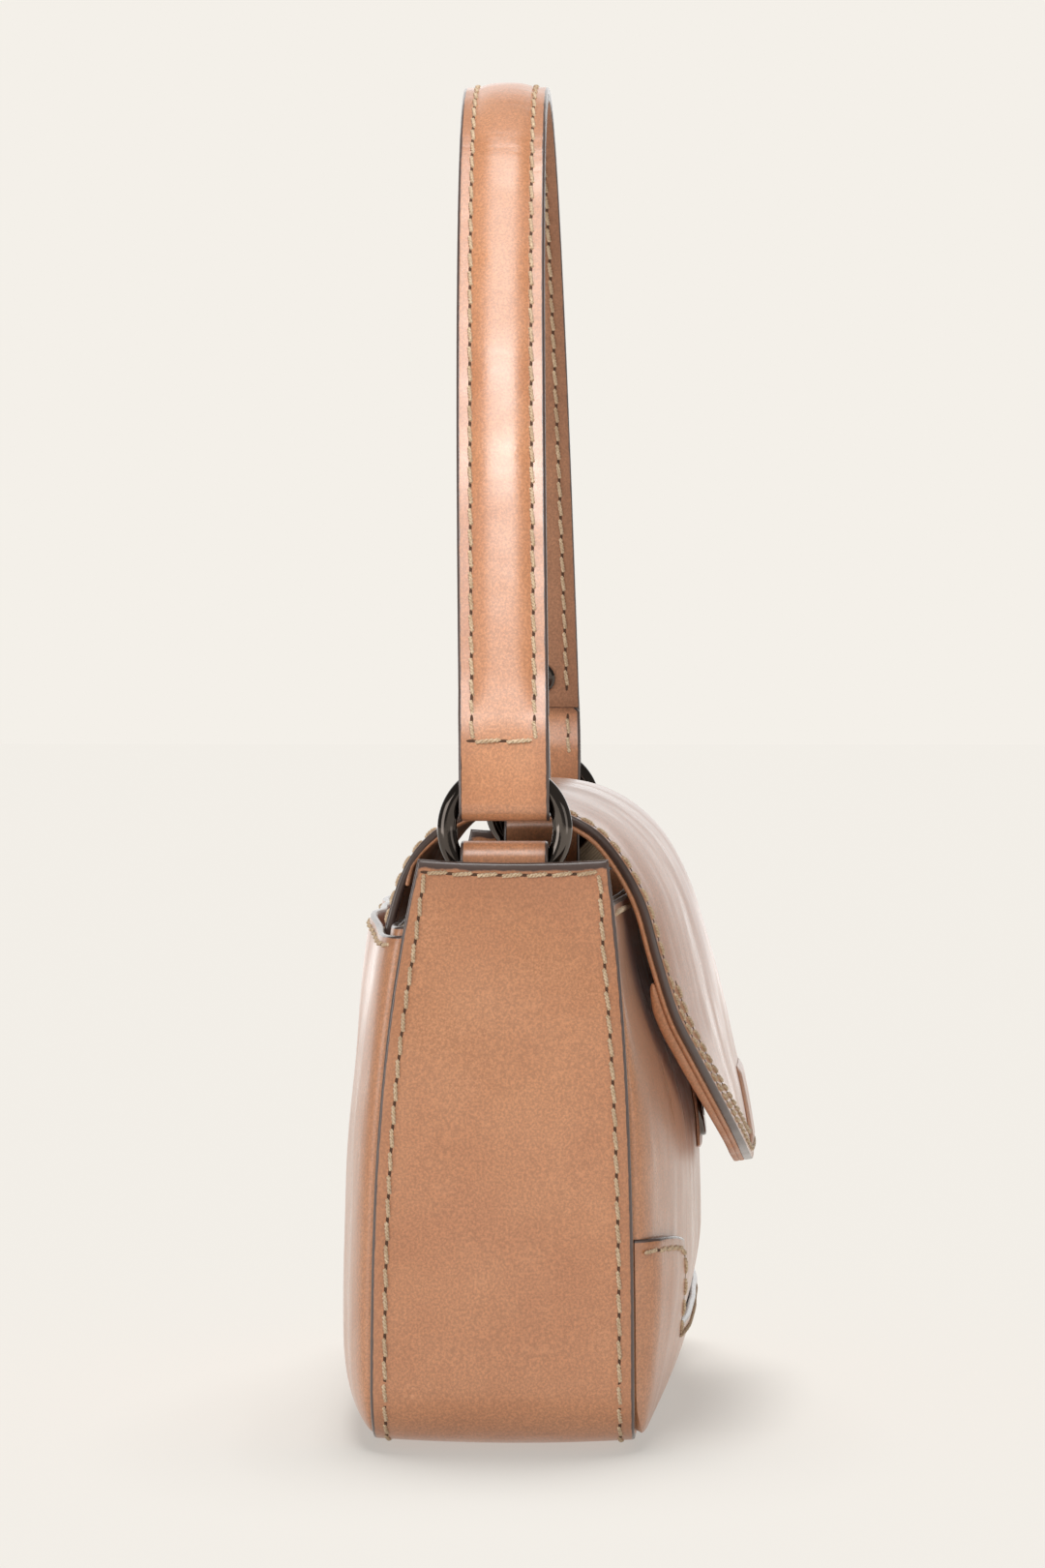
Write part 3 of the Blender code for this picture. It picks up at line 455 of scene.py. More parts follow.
def band_grid(inset, top, margin):
    """The strip's outer face: rows along its U and columns from its front to its back edge."""
    radius = CORNER_RADIUS - inset
    straight = HALF_LENGTH - CORNER_RADIUS
    down = [(-HALF_LENGTH + inset, z) for z in np.linspace(top, CORNER_RADIUS, BAND_SIDE_ROWS)]
    around = [(-straight - radius * math.cos(a), CORNER_RADIUS - radius * math.sin(a))
              for a in np.linspace(0, math.pi / 2, BAND_CORNER_ROWS + 1)[1:]]
    half = down + around + [(x, inset) for x in np.linspace(-straight, 0, BAND_BASE_ROWS + 1)[1:]]
    x, z = np.array(half + [(-x, z) for x, z in reversed(half[:-1])]).T[..., None]
    share = np.linspace(0, 1, BAND_COLUMNS + 1)
    front = -gusset_edge(z, -1) + margin
    y = front + (gusset_edge(z, 1) - margin - front) * share
    points = np.stack(np.broadcast_arrays(x, y, z), axis=-1)
    bow = GUSSET_BOW * np.sin(math.pi * np.clip((z - CORNER_RADIUS) / (GUSSET_HEIGHT - CORNER_RADIUS), 0, 1))
    from_middle = (2 * share - 1) ** 2
    wave = ripples(points, BAND_WAVE_SIZE, BAND_WAVE) * smooth_share((z - CORNER_RADIUS) / BAND_WAVE_RUN)
    points[..., 0] += np.sign(x) * (bow * (1 - 0.6 * from_middle) + wave)
    points[..., 2] -= GUSSET_SAG * (1 - from_middle) * smooth_share((z - GUSSET_HEIGHT + SAG_RUN) / SAG_RUN)
    points[..., 2] += BASE_LIFT * from_middle * smooth_share(1 - z / CORNER_RADIUS)
    return points


gusset_grid = band_grid(0, GUSSET_HEIGHT, 0)
gusset = grid_piece("gusset_leather", gusset_grid, 0.0, -BAND_LEATHER, ALL_SIDES, waxed_leather,
                    heavy=("first_row", "last_row"))
finished(gusset, "bag", "tan_leather", "gusset_band")

# Gusset stitching: waxed linen thread in rows inside both edges and across the top of each end.
STITCH_PITCH = 6.4 * MM
GUSSET_SEAM = 4.0 * MM
GUSSET_CORNER_SEAM = 2.7 * MM
GUSSET_TOP_SEAM = 3.4 * MM
SEAM_DRAW_IN = 26 * MM
sewn = {}


def inset_line(grid, side, distance, flip=False):
    """Points, and directions out of the surface, at a distance inside one side of a grid."""
    normals = even_normals(grid.reshape(-1, 3), grid_faces(*grid.shape[:2], flip)).reshape(grid.shape)
    lines = from_side(grid, side)
    run = runs(lines)
    distance = np.broadcast_to(distance, lines.shape[1])
    found = [[[np.interp(distance[c], run[:, c], values[:, c, k]) for k in range(3)]
              for c in range(lines.shape[1])] for values in (lines, from_side(normals, side))]
    return np.array(found[0]), np.array(found[1])


def sew(body, points, outs, pitch=STITCH_PITCH, trim=0.0, lift=0.0):
    """Lay a row of stitches along a line, from one trimmed end to the other."""
    run = runs(points)
    count = max(int(round((run[-1] - 2 * trim) / pitch)), 1)
    holes = np.linspace(trim, run[-1] - trim, count + 1)
    at, out = (np.stack([np.interp(holes, run, values[:, k]) for k in range(3)], axis=1)
               for values in (points, outs))
    out = (out[1:] + out[:-1]) / 2
    out /= np.linalg.norm(out, axis=1)[:, None]
    middle = (at[1:] + at[:-1]) / 2 + out * lift
    sewn.setdefault(body, []).append((middle, at[1:] - at[:-1], out))


towards_top = smooth_share((gusset_grid[:, 0, 2] - GUSSET_HEIGHT) / SEAM_DRAW_IN + 1)
gusset_seam = GUSSET_SEAM + (GUSSET_CORNER_SEAM - GUSSET_SEAM) * towards_top
for side in ("first_column", "last_column"):
    sew("bag", *inset_line(gusset_grid, side, gusset_seam), trim=GUSSET_TOP_SEAM)
for side in ("first_row", "last_row"):
    sew("bag", *inset_line(gusset_grid, side, GUSSET_TOP_SEAM), trim=GUSSET_CORNER_SEAM)

# Front and back panels and the back pocket: softly bulged leather pans, turned in under the
# gusset's edges and sewn to it. The pocket's mouth is left open and has gone wavy with use.
PANEL_LEATHER = 2.2 * MM
POCKET_LEATHER = 2 * MM
GAP = 0.3 * MM
OUTER_INSET = BAND_LEATHER + GAP
BACK_INSET = OUTER_INSET + POCKET_LEATHER + GAP
FLANGE = 9 * MM
FRONT_TOP = GUSSET_HEIGHT - 12 * MM
POCKET_TOP = GUSSET_HEIGHT - 21 * MM
BACK_TOP = GUSSET_HEIGHT - 18.5 * MM
FRONT_BULGE = 16.5 * MM
FRONT_FALL_START = 78 * MM
FRONT_FALL_END = 140 * MM
FRONT_TOP_SHARE = 0.3
BACK_BASE_POWER = 2.2
FRONT_BASE_POWER = 1.5
PANEL_COLUMNS = 36
PANEL_ROWS = 44
UPPER_ROWS = slice(20, None)
WELD = 0.01 * MM
MOUTH_RISE = 4.5 * MM
MOUTH_WAVE = 1.1 * MM
MOUTH_EASE = 45 * MM
MOUTH_END = 0.94
MOUTH_END_RUN = 0.4
MOUTH_SEAM = 2.9 * MM
MOUTH_TRIM = 4.0 * MM
PANEL_WAVE_SIZE = 90 * MM
PANEL_WAVE = 0.5 * MM


def panel_form(side, inset, bulge, full, power, mouth_rise=0.0, mouth_wave=0.0):
    """A panel's outer face as a function of shares of the half length and heights."""
    def form(along, z):
        radius = CORNER_RADIUS - inset
        below = np.clip(CORNER_RADIUS - z, 0, radius)
        half = HALF_LENGTH - CORNER_RADIUS + np.sqrt(radius ** 2 - below ** 2)
        rise = round_share((z - inset) / full, BACK_BASE_POWER if side > 0 else FRONT_BASE_POWER)
        if side < 0:
            fall = smooth_share((z - FRONT_FALL_START) / (FRONT_FALL_END - FRONT_FALL_START))
            rise = rise * (1 - (1 - FRONT_TOP_SHARE * (1 - along ** 2)) * fall)
        fullness = round_share(1 - np.abs(along), power)
        y = gusset_edge(z, side) - (inset - OUTER_INSET) + bulge * fullness * rise
        at_mouth = (smooth_share((z - POCKET_TOP + MOUTH_EASE) / MOUTH_EASE)
                    * smooth_share((MOUTH_END - np.abs(along)) / MOUTH_END_RUN))
        wave = np.sin(along * 9.0 + 0.8) + 0.6 * np.sin(along * 17.0) - 0.6
        y = y + mouth_wave * wave * at_mouth
        points = np.stack([along * half, side * y, z + mouth_rise * at_mouth], axis=-1)
        slack = fullness * np.minimum(rise * 2, 1)
        points[..., 1] += side * ripples(points, PANEL_WAVE_SIZE, PANEL_WAVE) * slack
        return points
    return form


front_form = panel_form(-1, OUTER_INSET, bulge=FRONT_BULGE, full=46 * MM, power=2.0)
pocket_form = panel_form(1, OUTER_INSET, bulge=14 * MM, full=25 * MM, power=2.2, mouth_rise=MOUTH_RISE,
                         mouth_wave=MOUTH_WAVE)
back_form = panel_form(1, BACK_INSET, bulge=7.5 * MM, full=25 * MM, power=6.0)


def panel_grid(form, inset, top):
    """Points of a panel between the gusset's edges, from its base to its top edge."""
    along = np.sin(np.linspace(-math.pi / 2, math.pi / 2, 2 * PANEL_COLUMNS + 1))
    around = inset + (CORNER_RADIUS - inset) * (1 - np.cos(np.linspace(0, math.pi / 2, PANEL_ROWS // 2)))
    rows = np.concatenate([around, np.linspace(CORNER_RADIUS, top, PANEL_ROWS)[1:]])
    return form(*np.meshgrid(along, rows))


def pan_piece(name, grid, side, thickness, flange, node_name):
    """A panel with its flange, which turns in under the gusset's edges."""
    grid = with_round_lines(grid, ("last_row",), EDGE_ROUND)
    border = border_distance(grid, ("last_row",))
    turned_in = np.array([0, side * flange, 0])
    grid = np.concatenate([grid[:, :1] - turned_in, grid, grid[:, -1:] - turned_in], axis=1)
    below = grid[:1] - turned_in
    below[:, [0, -1]] = grid[:1, [0, -1]]
    grid = np.concatenate([below, grid])
    border = np.pad(border, ((1, 0), (1, 1)), mode="edge").ravel()
    points = grid.reshape(-1, 3)
    _, kept, index = np.unique(np.round(points / WELD).astype(int), axis=0,
                               return_index=True, return_inverse=True)
    faces = index.ravel()[grid_faces(*grid.shape[:2], side > 0)]
    faces = faces[[len(set(face)) == 4 for face in faces.tolist()]]
    made = sheet_piece(name, points[kept], faces, 0.0, -thickness, border[kept], waxed_leather)
    finished(made, "bag", "tan_leather", node_name)


front_grid = panel_grid(front_form, OUTER_INSET, FRONT_TOP)
pocket_grid = panel_grid(pocket_form, OUTER_INSET, POCKET_TOP)
back_grid = panel_grid(back_form, BACK_INSET, BACK_TOP)
pan_piece("front_leather", front_grid, -1, PANEL_LEATHER, FLANGE, "front_panel")
pan_piece("pocket_leather", pocket_grid, 1, POCKET_LEATHER, FLANGE, "back_pocket")
pan_piece("back_leather", back_grid, 1, PANEL_LEATHER, FLANGE - GAP, "back_panel")
sew("bag", *inset_line(pocket_grid[UPPER_ROWS], "last_row", MOUTH_SEAM, True), trim=MOUTH_TRIM)
sew("bag", *inset_line(front_grid[UPPER_ROWS], "last_row", MOUTH_SEAM), trim=MOUTH_TRIM)

# Front overlay: an apron of the same leather on the lower front, with high shoulders at both
# ends and a low run between them. Its ends are pared thin and tucked against the gusset.
OVERLAY_LEATHER = 1.9 * MM
OVERLAY_SHOULDER = 58 * MM
OVERLAY_LOW = 30 * MM
OVERLAY_FALL = 3 * MM
OVERLAY_STEP_AT = 88 * MM
OVERLAY_STEP_RUN = 5.5 * MM
OVERLAY_BASE = 5 * MM
OVERLAY_SEAT = 0.25 * MM
OVERLAY_PARED_TO = 0.5 * MM
OVERLAY_PARE = 0.05
OVERLAY_SEAM = 3.3 * MM
OVERLAY_TRIM = 1.5 * MM
OVERLAY_ROWS = 26
OVERLAY_ROW_POWER = 1.3
front_half = HALF_LENGTH - OUTER_INSET
step_from = (OVERLAY_STEP_AT - OVERLAY_STEP_RUN) / front_half
step_to = (OVERLAY_STEP_AT + OVERLAY_STEP_RUN) / front_half
half_along = np.concatenate([np.linspace(0, step_from, 16), np.linspace(step_from, step_to, 22)[1:],
                             np.linspace(step_to, 1.0, 18)[1:]])
overlay_along = np.concatenate([-half_along[:0:-1], half_along])
step = smooth_share((np.abs(overlay_along) - step_from) / (step_to - step_from))
to_end = np.clip((1 - np.abs(overlay_along)) / (1 - step_to), 0, 1)
overlay_top = OVERLAY_LOW + (OVERLAY_SHOULDER - OVERLAY_LOW) * step - OVERLAY_FALL * step * to_end ** 2
overlay_rows = np.linspace(0, 1, OVERLAY_ROWS)[:, None] ** OVERLAY_ROW_POWER
overlay_z = OVERLAY_BASE + (overlay_top - OVERLAY_BASE) * overlay_rows
overlay_grid = front_form(np.broadcast_to(overlay_along, overlay_z.shape), overlay_z)


def overlay_face(border, grid):
    """The apron's outer face: pared down to nothing towards its two ends."""
    share = smooth_share((1 - np.abs(grid[..., 0]) / front_half) / OVERLAY_PARE)
    return OVERLAY_SEAT + OVERLAY_PARED_TO + (OVERLAY_LEATHER - OVERLAY_PARED_TO) * share


overlay = grid_piece("overlay_leather", overlay_grid, overlay_face, OVERLAY_SEAT, ("last_row",),
                     waxed_leather, radius=0.5 * MM)
finished(overlay, "bag", "tan_leather", "front_overlay")
sew("bag", *inset_line(overlay_grid, "last_row", OVERLAY_SEAM), trim=OVERLAY_TRIM,
    lift=OVERLAY_SEAT + OVERLAY_LEATHER)

# Snap patch: a thin round-cornered square of leather glued on the front, which the snap's cup
# is set in. It lies under the tip of the closed flap.
PATCH_HALF = 14 * MM
PATCH_BOTTOM = 72 * MM
PATCH_TOP = 96 * MM
PATCH_LEATHER = 0.9 * MM
PATCH_SEAT = 0.1 * MM
PATCH_CORNER = 0.09
patch_x, patch_z = np.meshgrid(np.linspace(-1, 1, 33), np.linspace(-1, 1, 33))
rounded = 1 - PATCH_CORNER * (patch_x * patch_z) ** 2
patch_grid = front_form(patch_x * rounded * PATCH_HALF / front_half,
                        (PATCH_BOTTOM + PATCH_TOP + patch_z * rounded * (PATCH_TOP - PATCH_BOTTOM)) / 2)
patch = grid_piece("snap_patch", patch_grid, PATCH_LEATHER + PATCH_SEAT, PATCH_SEAT, ALL_SIDES,
                   bare_leather, radius=0.6 * MM)
finished(patch, "bag", "tan_leather")

# Inside of the bag: a plain-woven cloth lining, leather facings round the mouth, a cloth slip
# pocket on the back and a board that keeps the base flat.
LINING = 1 * MM
FACING_LEATHER = 1.2 * MM
LINING_BOTTOM = 12 * MM
LINING_HALF = 0.9
FRONT_FACING_BOTTOM = 117 * MM
BACK_FACING_BOTTOM = 114.4 * MM
SLIP_BOTTOM = 46.2 * MM
SLIP_TOP = 112 * MM
SLIP_HALF = 0.5
BOARD_HALF = HALF_LENGTH - CORNER_RADIUS
BOARD_MARGIN = 14 * MM
BOARD_THICKNESS = 1.6 * MM
THIN_EDGE = 0.3 * MM

weave, given, place = new_group("plain_weave", {"Thread Scale": 2400.0}, ("Thread", "Height"))
apart = node(weave, "ShaderNodeSeparateXYZ", {"Vector": place}).outputs
flat = maths("ADD", apart["Y"], apart["Z"])
warp, weft = (maths("SINE", maths("MULTIPLY", value, given["Thread Scale"])) for value in (apart["X"], flat))
crossed = maths("MULTIPLY", warp, weft)
node(weave, "NodeGroupOutput", {"Thread": maths("MULTIPLY_ADD", crossed, 0.25, noise(place, 90.0, 4.0)),
                                "Height": maths("MULTIPLY_ADD", crossed, 0.5, 0.5)})


def woven(name, light, dark, thread_scale, roughness):
    """Cloth or felt with its threads, slubs and a soft nap."""
    made, tree, shader = new_finish(name, Roughness=roughness, Sheen_Weight=0.25)
    cloth = node(tree, "ShaderNodeGroup", node_tree=weave)
    cloth.inputs["Thread Scale"].default_value = thread_scale
    tree.links.new(blended(between(cloth.outputs["Thread"], 0.2, 0.85), dark, light), shader["Base Color"])
    tree.links.new(bumped(cloth.outputs["Height"], 0.5, 0.2 * MM), shader["Normal"])
    return made


lining_cloth = woven("lining_cloth", (0.46, 0.34, 0.22, 1), (0.30, 0.21, 0.13, 1), 5200.0, 0.85)
fibre_board = woven("fibre_board", (0.33, 0.28, 0.23, 1), (0.22, 0.18, 0.15, 1), 1700.0, 0.9)
wool_felt = woven("wool_felt", (0.78, 0.74, 0.66, 1), (0.62, 0.57, 0.49, 1), 1900.0, 0.95)
soft_lining = leather("soft_lining_leather", (0.48, 0.235, 0.130, 1), (0.36, 0.165, 0.088, 1),
                      paint_width=0.3 * MM, roughness=0.58, bump=0.25, coat=0.05)

gusset_lining_grid = band_grid(OUTER_INSET, GUSSET_HEIGHT - 1 * MM, FLANGE + 2 * GAP)
gusset_cloth = grid_piece("gusset_cloth", gusset_lining_grid, 0.0, -LINING, ALL_SIDES, lining_cloth,
                          radius=THIN_EDGE)
finished(gusset_cloth, "bag", "lining_cloth", "lining_gusset")
cloth_depth = PANEL_LEATHER + GAP
facing_depth = cloth_depth + LINING + 0.1 * MM
slip_depth = facing_depth + FACING_LEATHER
cloth_kind = (LINING, lining_cloth, "lining_cloth")
facing_kind = (FACING_LEATHER, soft_lining, "lining_leather")
for name, solid, side, half, bottom, top, depth, (thickness, finish, slot) in [
        ("front_cloth", "lining_front", -1, LINING_HALF, LINING_BOTTOM, FRONT_TOP, cloth_depth, cloth_kind),
        ("back_cloth", "lining_back", 1, LINING_HALF, LINING_BOTTOM, BACK_TOP, cloth_depth, cloth_kind),
        ("front_facing", "mouth_facing_front", -1, LINING_HALF, FRONT_FACING_BOTTOM, FRONT_TOP, facing_depth,
         facing_kind),
        ("back_facing", "mouth_facing_back", 1, LINING_HALF, BACK_FACING_BOTTOM, BACK_TOP, facing_depth,
         facing_kind),
        ("slip_cloth", "slip_pocket", 1, SLIP_HALF, SLIP_BOTTOM, SLIP_TOP, slip_depth, cloth_kind)]:
    form = front_form if side < 0 else back_form
    grid = form(*np.meshgrid(np.linspace(-half, half, 61), np.linspace(bottom, top, 41)))
    piece = grid_piece(name, grid, -depth, -depth - thickness, ALL_SIDES, finish, side > 0, THIN_EDGE)
    finished(piece, "bag", slot, solid)

board_x, board_y = np.meshgrid(np.linspace(-BOARD_HALF, BOARD_HALF, 41),
                               np.linspace(-BASE_FRONT + BOARD_MARGIN, BASE_BACK - BOARD_MARGIN, 9))
board_top = OUTER_INSET + LINING + GAP + BOARD_THICKNESS
board_grid = np.stack([board_x, board_y, np.full_like(board_x, board_top)], axis=-1)
board = grid_piece("base_card", board_grid, 0.0, -BOARD_THICKNESS, ALL_SIDES, fibre_board, radius=0.4 * MM)
finished(board, "bag", "board", "base_board")

# Ring tabs: a leather strip folded over the ring's lower arc at each end, its two tails sewn
# to the inside of the gusset.
RING_WIRE = 2.7 * MM
RING_INNER = 13.2 * MM
RING_Z = GUSSET_HEIGHT + 8 * MM
STRAP_LEATHER = 2 * MM
TAB_HALF_WIDTH = 12 * MM
TAB_BOTTOM = RING_Z - 38 * MM
TAB_CLOSING = (20 * MM, 28 * MM)
TAB_OUTER_X = HALF_LENGTH - OUTER_INSET - LINING - GAP
RING_X = TAB_OUTER_X - STRAP_LEATHER - GAP - RING_WIRE
LOOP_RADIUS = RING_WIRE + GAP + STRAP_LEATHER
BEND = np.linspace(0, math.pi, 21)


def wire_reach(half_width):
    """How far from the ring's middle its wire's inner side still is at a strap's edge."""
    return math.sqrt(RING_INNER ** 2 - half_width ** 2)


def strip_grid(path, half_width, columns):
    """Rows along a path of (x, z) and columns across it."""
    across = np.linspace(-1, 1, columns)
    half_width = np.broadcast_to(half_width, len(path))
    return np.array([[(x, half * y, z) for y in across] for (x, z), half in zip(path, half_width)])


tab_turn_z = RING_Z - wire_reach(TAB_HALF_WIDTH) + GAP + STRAP_LEATHER - LOOP_RADIUS
closed_x = TAB_OUTER_X - 2 * STRAP_LEATHER - GAP
open_x = RING_X - LOOP_RADIUS
tab_path = [(-TAB_OUTER_X, z) for z in np.linspace(TAB_BOTTOM, tab_turn_z, 12)[:-1]]
tab_path += [(-RING_X - LOOP_RADIUS * math.cos(a), tab_turn_z + LOOP_RADIUS * math.sin(a)) for a in BEND]
tab_path += [(-open_x + (open_x - closed_x) * smooth_share(share), RING_Z - drop)
             for share, drop in zip(np.linspace(0, 1, 10), np.linspace(*TAB_CLOSING, 10))]
tab_path += [(-closed_x, z) for z in np.linspace(RING_Z - TAB_CLOSING[1], TAB_BOTTOM, 6)[1:]]
for end_name, end in (("left", -1), ("right", 1)):
    route = tab_path if end < 0 else [(-x, z) for x, z in reversed(tab_path)]
    tab = grid_piece("tab_leather_" + end_name, strip_grid(route, TAB_HALF_WIDTH, 13), 0.0, -STRAP_LEATHER,
                     ALL_SIDES, waxed_leather, True, radius=0.6 * MM)
    finished(tab, "bag", "tan_leather", "ring_tab_" + end_name)

# Flap: the outer leather is lapped over the back panel and sewn to it, bends at its top and
# comes down over the front. A lining, a stiffener and a thicker facing at the lower edge are
# glued under it, and its own edge is painted.
HINGE_Y = 30.74 * MM
HINGE_Z = GUSSET_HEIGHT - 14 * MM
FLAP_HALF_LENGTH = HALF_LENGTH - 28 * MM
FLAP_OVERHANG = 17 * MM
FLAP_REACH = HINGE_Y + BASE_FRONT + FRONT_BULGE + FLAP_OVERHANG
FLAP_LEATHER = 2.4 * MM
FLAP_STIFFENER = 0.6 * MM
FLAP_LINING = 1.4 * MM
FLAP_FACING = 3.2 * MM
FACING_PARED = 2 * MM
FACING_PARED_ROWS = 7
FLAP_MIDDLE = [(0, 0), (0.02, 0.085), (0.045, 0.17), (0.11, 0.255), (0.24, 0.315), (0.40, 0.333),
               (0.56, 0.30), (0.705, 0.20), (0.80, 0.05), (0.865, -0.145), (0.91, -0.32),
               (0.94, -0.46), (0.97, -0.59), (1.0, -0.78)]
FLAP_END = [(0, 0), (0.008, 0.068), (0.028, 0.135), (0.094, 0.207), (0.206, 0.272), (0.358, 0.29),
            (0.51, 0.24), (0.602, 0.17), (0.694, 0.02), (0.74, -0.15), (0.775, -0.315),
            (0.806, -0.40), (0.842, -0.49), (0.885, -0.61), (0.92, -0.73)]
FLAP_CORNER_START = 0.56
FLAP_CORNER_END = 0.985
FLAP_CORNER_POWER = 2.4
FLAP_COLUMNS = 71
FLAP_WAVE_SIZE = 110 * MM
FLAP_WAVE = 0.35 * MM
FLAP_SEAM = 3.0 * MM
FLAP_SECOND_SEAM = 8.0 * MM
FLAP_PITCH = 5.2 * MM
SECOND_SEAM_DROP = 22 * MM
SEAM_JOIN = 44
OUTER_SPAN = (0.03, 1.0, 90)
STIFFENER_SPAN = (0.08, 0.94, 40)
LINING_SPAN = (0.035, 1.0, 70)
FACING_SPAN = (0.69, 1.0, 40)
TAIL_BOTTOM = 120 * MM
TAIL_TOP = 139 * MM
TAIL_STAND = 0.2 * MM
TAIL_ROWS = 12
BRIDGE_ROWS = 8
EASED_ROWS = (7, 34)
EASING = 0.4
EASING_TURNS = 30
UNDER = FLAP_LEATHER + 0.05 * MM
CROWN_RUN = 14 * MM


def curve_through(points):
    """A fine smooth curve through points, and its length at each of them."""
    points = np.array(points, float)
    ends = np.vstack([2 * points[0] - points[1], points, 2 * points[-1] - points[-2]])
    fine = []
    for a, b, c, d in zip(ends, ends[1:], ends[2:], ends[3:]):
        t = np.linspace(0, 1, 12, endpoint=False)[:, None]
        fine.append(0.5 * (2 * b + (c - a) * t + (2 * a - 5 * b + 4 * c - d) * t * t
                           + (3 * b - a - 3 * c + d) * t ** 3))
    fine = np.vstack([*fine, points[-1:]])
    return fine, runs(fine)


middle_curve = curve_through(FLAP_MIDDLE)
end_curve = curve_through(FLAP_END)
flap_length = middle_curve[1][-1] * FLAP_REACH


def on_curve(curve, share):
    """Points at shares of a curve's length."""
    fine, run = curve
    return np.stack([np.interp(share * run[-1], run, fine[:, k]) for k in (0, 1)], axis=-1)


def flap_width(share):
    """Share of the flap's half length at a share of its profile: full, then a round corner."""
    corner = np.clip((share - FLAP_CORNER_START) / (1 - FLAP_CORNER_START), 0, 1)
    return np.sqrt(1 - (corner * FLAP_CORNER_END) ** FLAP_CORNER_POWER)


def flap_form(x_share, share):
    """The flap's outer face at shares of its half length and of its profile."""
    x_share, share = np.broadcast_arrays(x_share, share)
    mixed = on_curve(middle_curve, share)
    mixed = mixed + (on_curve(end_curve, share) - mixed) * (x_share ** 2)[..., None]
    points = np.stack([x_share * FLAP_HALF_LENGTH, HINGE_Y + FLAP_LEATHER / 2 - mixed[..., 0] * FLAP_REACH,
                       HINGE_Z + mixed[..., 1] * FLAP_REACH], axis=-1)
    sag = ripples(points, FLAP_WAVE_SIZE, FLAP_WAVE) * smooth_share((share - 0.1) / 0.2)
    points[..., 2] += sag
    points[..., 1] -= sag
    return points


def flap_grid(start, end, rows, columns):
    """Points of the flap between two shares of its profile."""
    fine = np.linspace(0, 1, rows)
    share = (start + (end - start) * (np.sin(fine * math.pi / 2) + fine) / 2)[:, None]
    along = (np.sin(np.linspace(-math.pi / 2, math.pi / 2, columns)) + np.linspace(-1, 1, columns)) / 2
    return flap_form(flap_width(share) * along, share)


outer_grid = flap_grid(*OUTER_SPAN, FLAP_COLUMNS)
tail_x = outer_grid[0, :, 0]
tail_rows = np.linspace(TAIL_BOTTOM, TAIL_TOP, TAIL_ROWS)[:, None]
tail_grid = back_form(tail_x / front_half, np.broadcast_to(tail_rows, (TAIL_ROWS, FLAP_COLUMNS)))
tail_grid[..., 0] = tail_x
tail_grid[..., 1] += FLAP_LEATHER + TAIL_STAND
bridge_share = np.linspace(0, 1, BRIDGE_ROWS, endpoint=False)[1:, None, None]
bridge = tail_grid[-1:] + (outer_grid[:1] - tail_grid[-1:]) * bridge_share
outer_grid = np.concatenate([tail_grid, bridge, outer_grid])
low, high = EASED_ROWS
for _ in range(EASING_TURNS):
    middle = outer_grid[low:high]
    beside = (outer_grid[low - 1:high - 1] + outer_grid[low + 1:high + 1]) / 2
    outer_grid[low:high] = middle + EASING * (beside - middle)
flap_outer = grid_piece("flap_leather", outer_grid, 0.0, -FLAP_LEATHER, ALL_SIDES, waxed_leather, True)
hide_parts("flap_outer")
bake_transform(flap_outer)

turned_leather = leather("turned_leather", (0.62, 0.29, 0.148, 1), (0.50, 0.215, 0.10, 1),
                         paint_width=0.3 * MM, roughness=0.5, bump=0.4, coat=0.1, paint_amount=0.0,
                         burnish=0.12)


def under_leather(extra, pared=0.0):
    """A depth under the flap's leather: tight at the edges, fuller over the stiffener. The
    pared part of it thins out towards the first row, and slowly towards the last."""
    def depth(border, grid):
        row = np.arange(len(grid))[:, None]
        thin = 1 - smooth_share(row / FACING_PARED_ROWS) + 0.8 * smooth_share(row / len(grid))
        return -UNDER - extra + pared * thin - (FLAP_STIFFENER + GAP) * smooth_share(border / CROWN_RUN)
    return depth


finished(grid_piece("flap_card", flap_grid(*STIFFENER_SPAN, 41)[:, 5:-5], -UNDER, -UNDER - FLAP_STIFFENER,
                    ALL_SIDES, fibre_board, True, radius=0.2 * MM), "flap", "board", "flap_stiffener")
finished(grid_piece("flap_lining_leather", flap_grid(*LINING_SPAN, 51), under_leather(0.0),
                    under_leather(FLAP_LINING), ALL_SIDES, turned_leather, True, radius=0.6 * MM),
         "flap", "lining_leather", "flap_lining")
finished(grid_piece("flap_facing_leather", flap_grid(*FACING_SPAN, 51), under_leather(FLAP_LINING),
                    under_leather(FLAP_LINING + FLAP_FACING, FACING_PARED), ALL_SIDES, turned_leather, True,
                    radius=0.9 * MM), "flap", "lining_leather", "flap_facing")


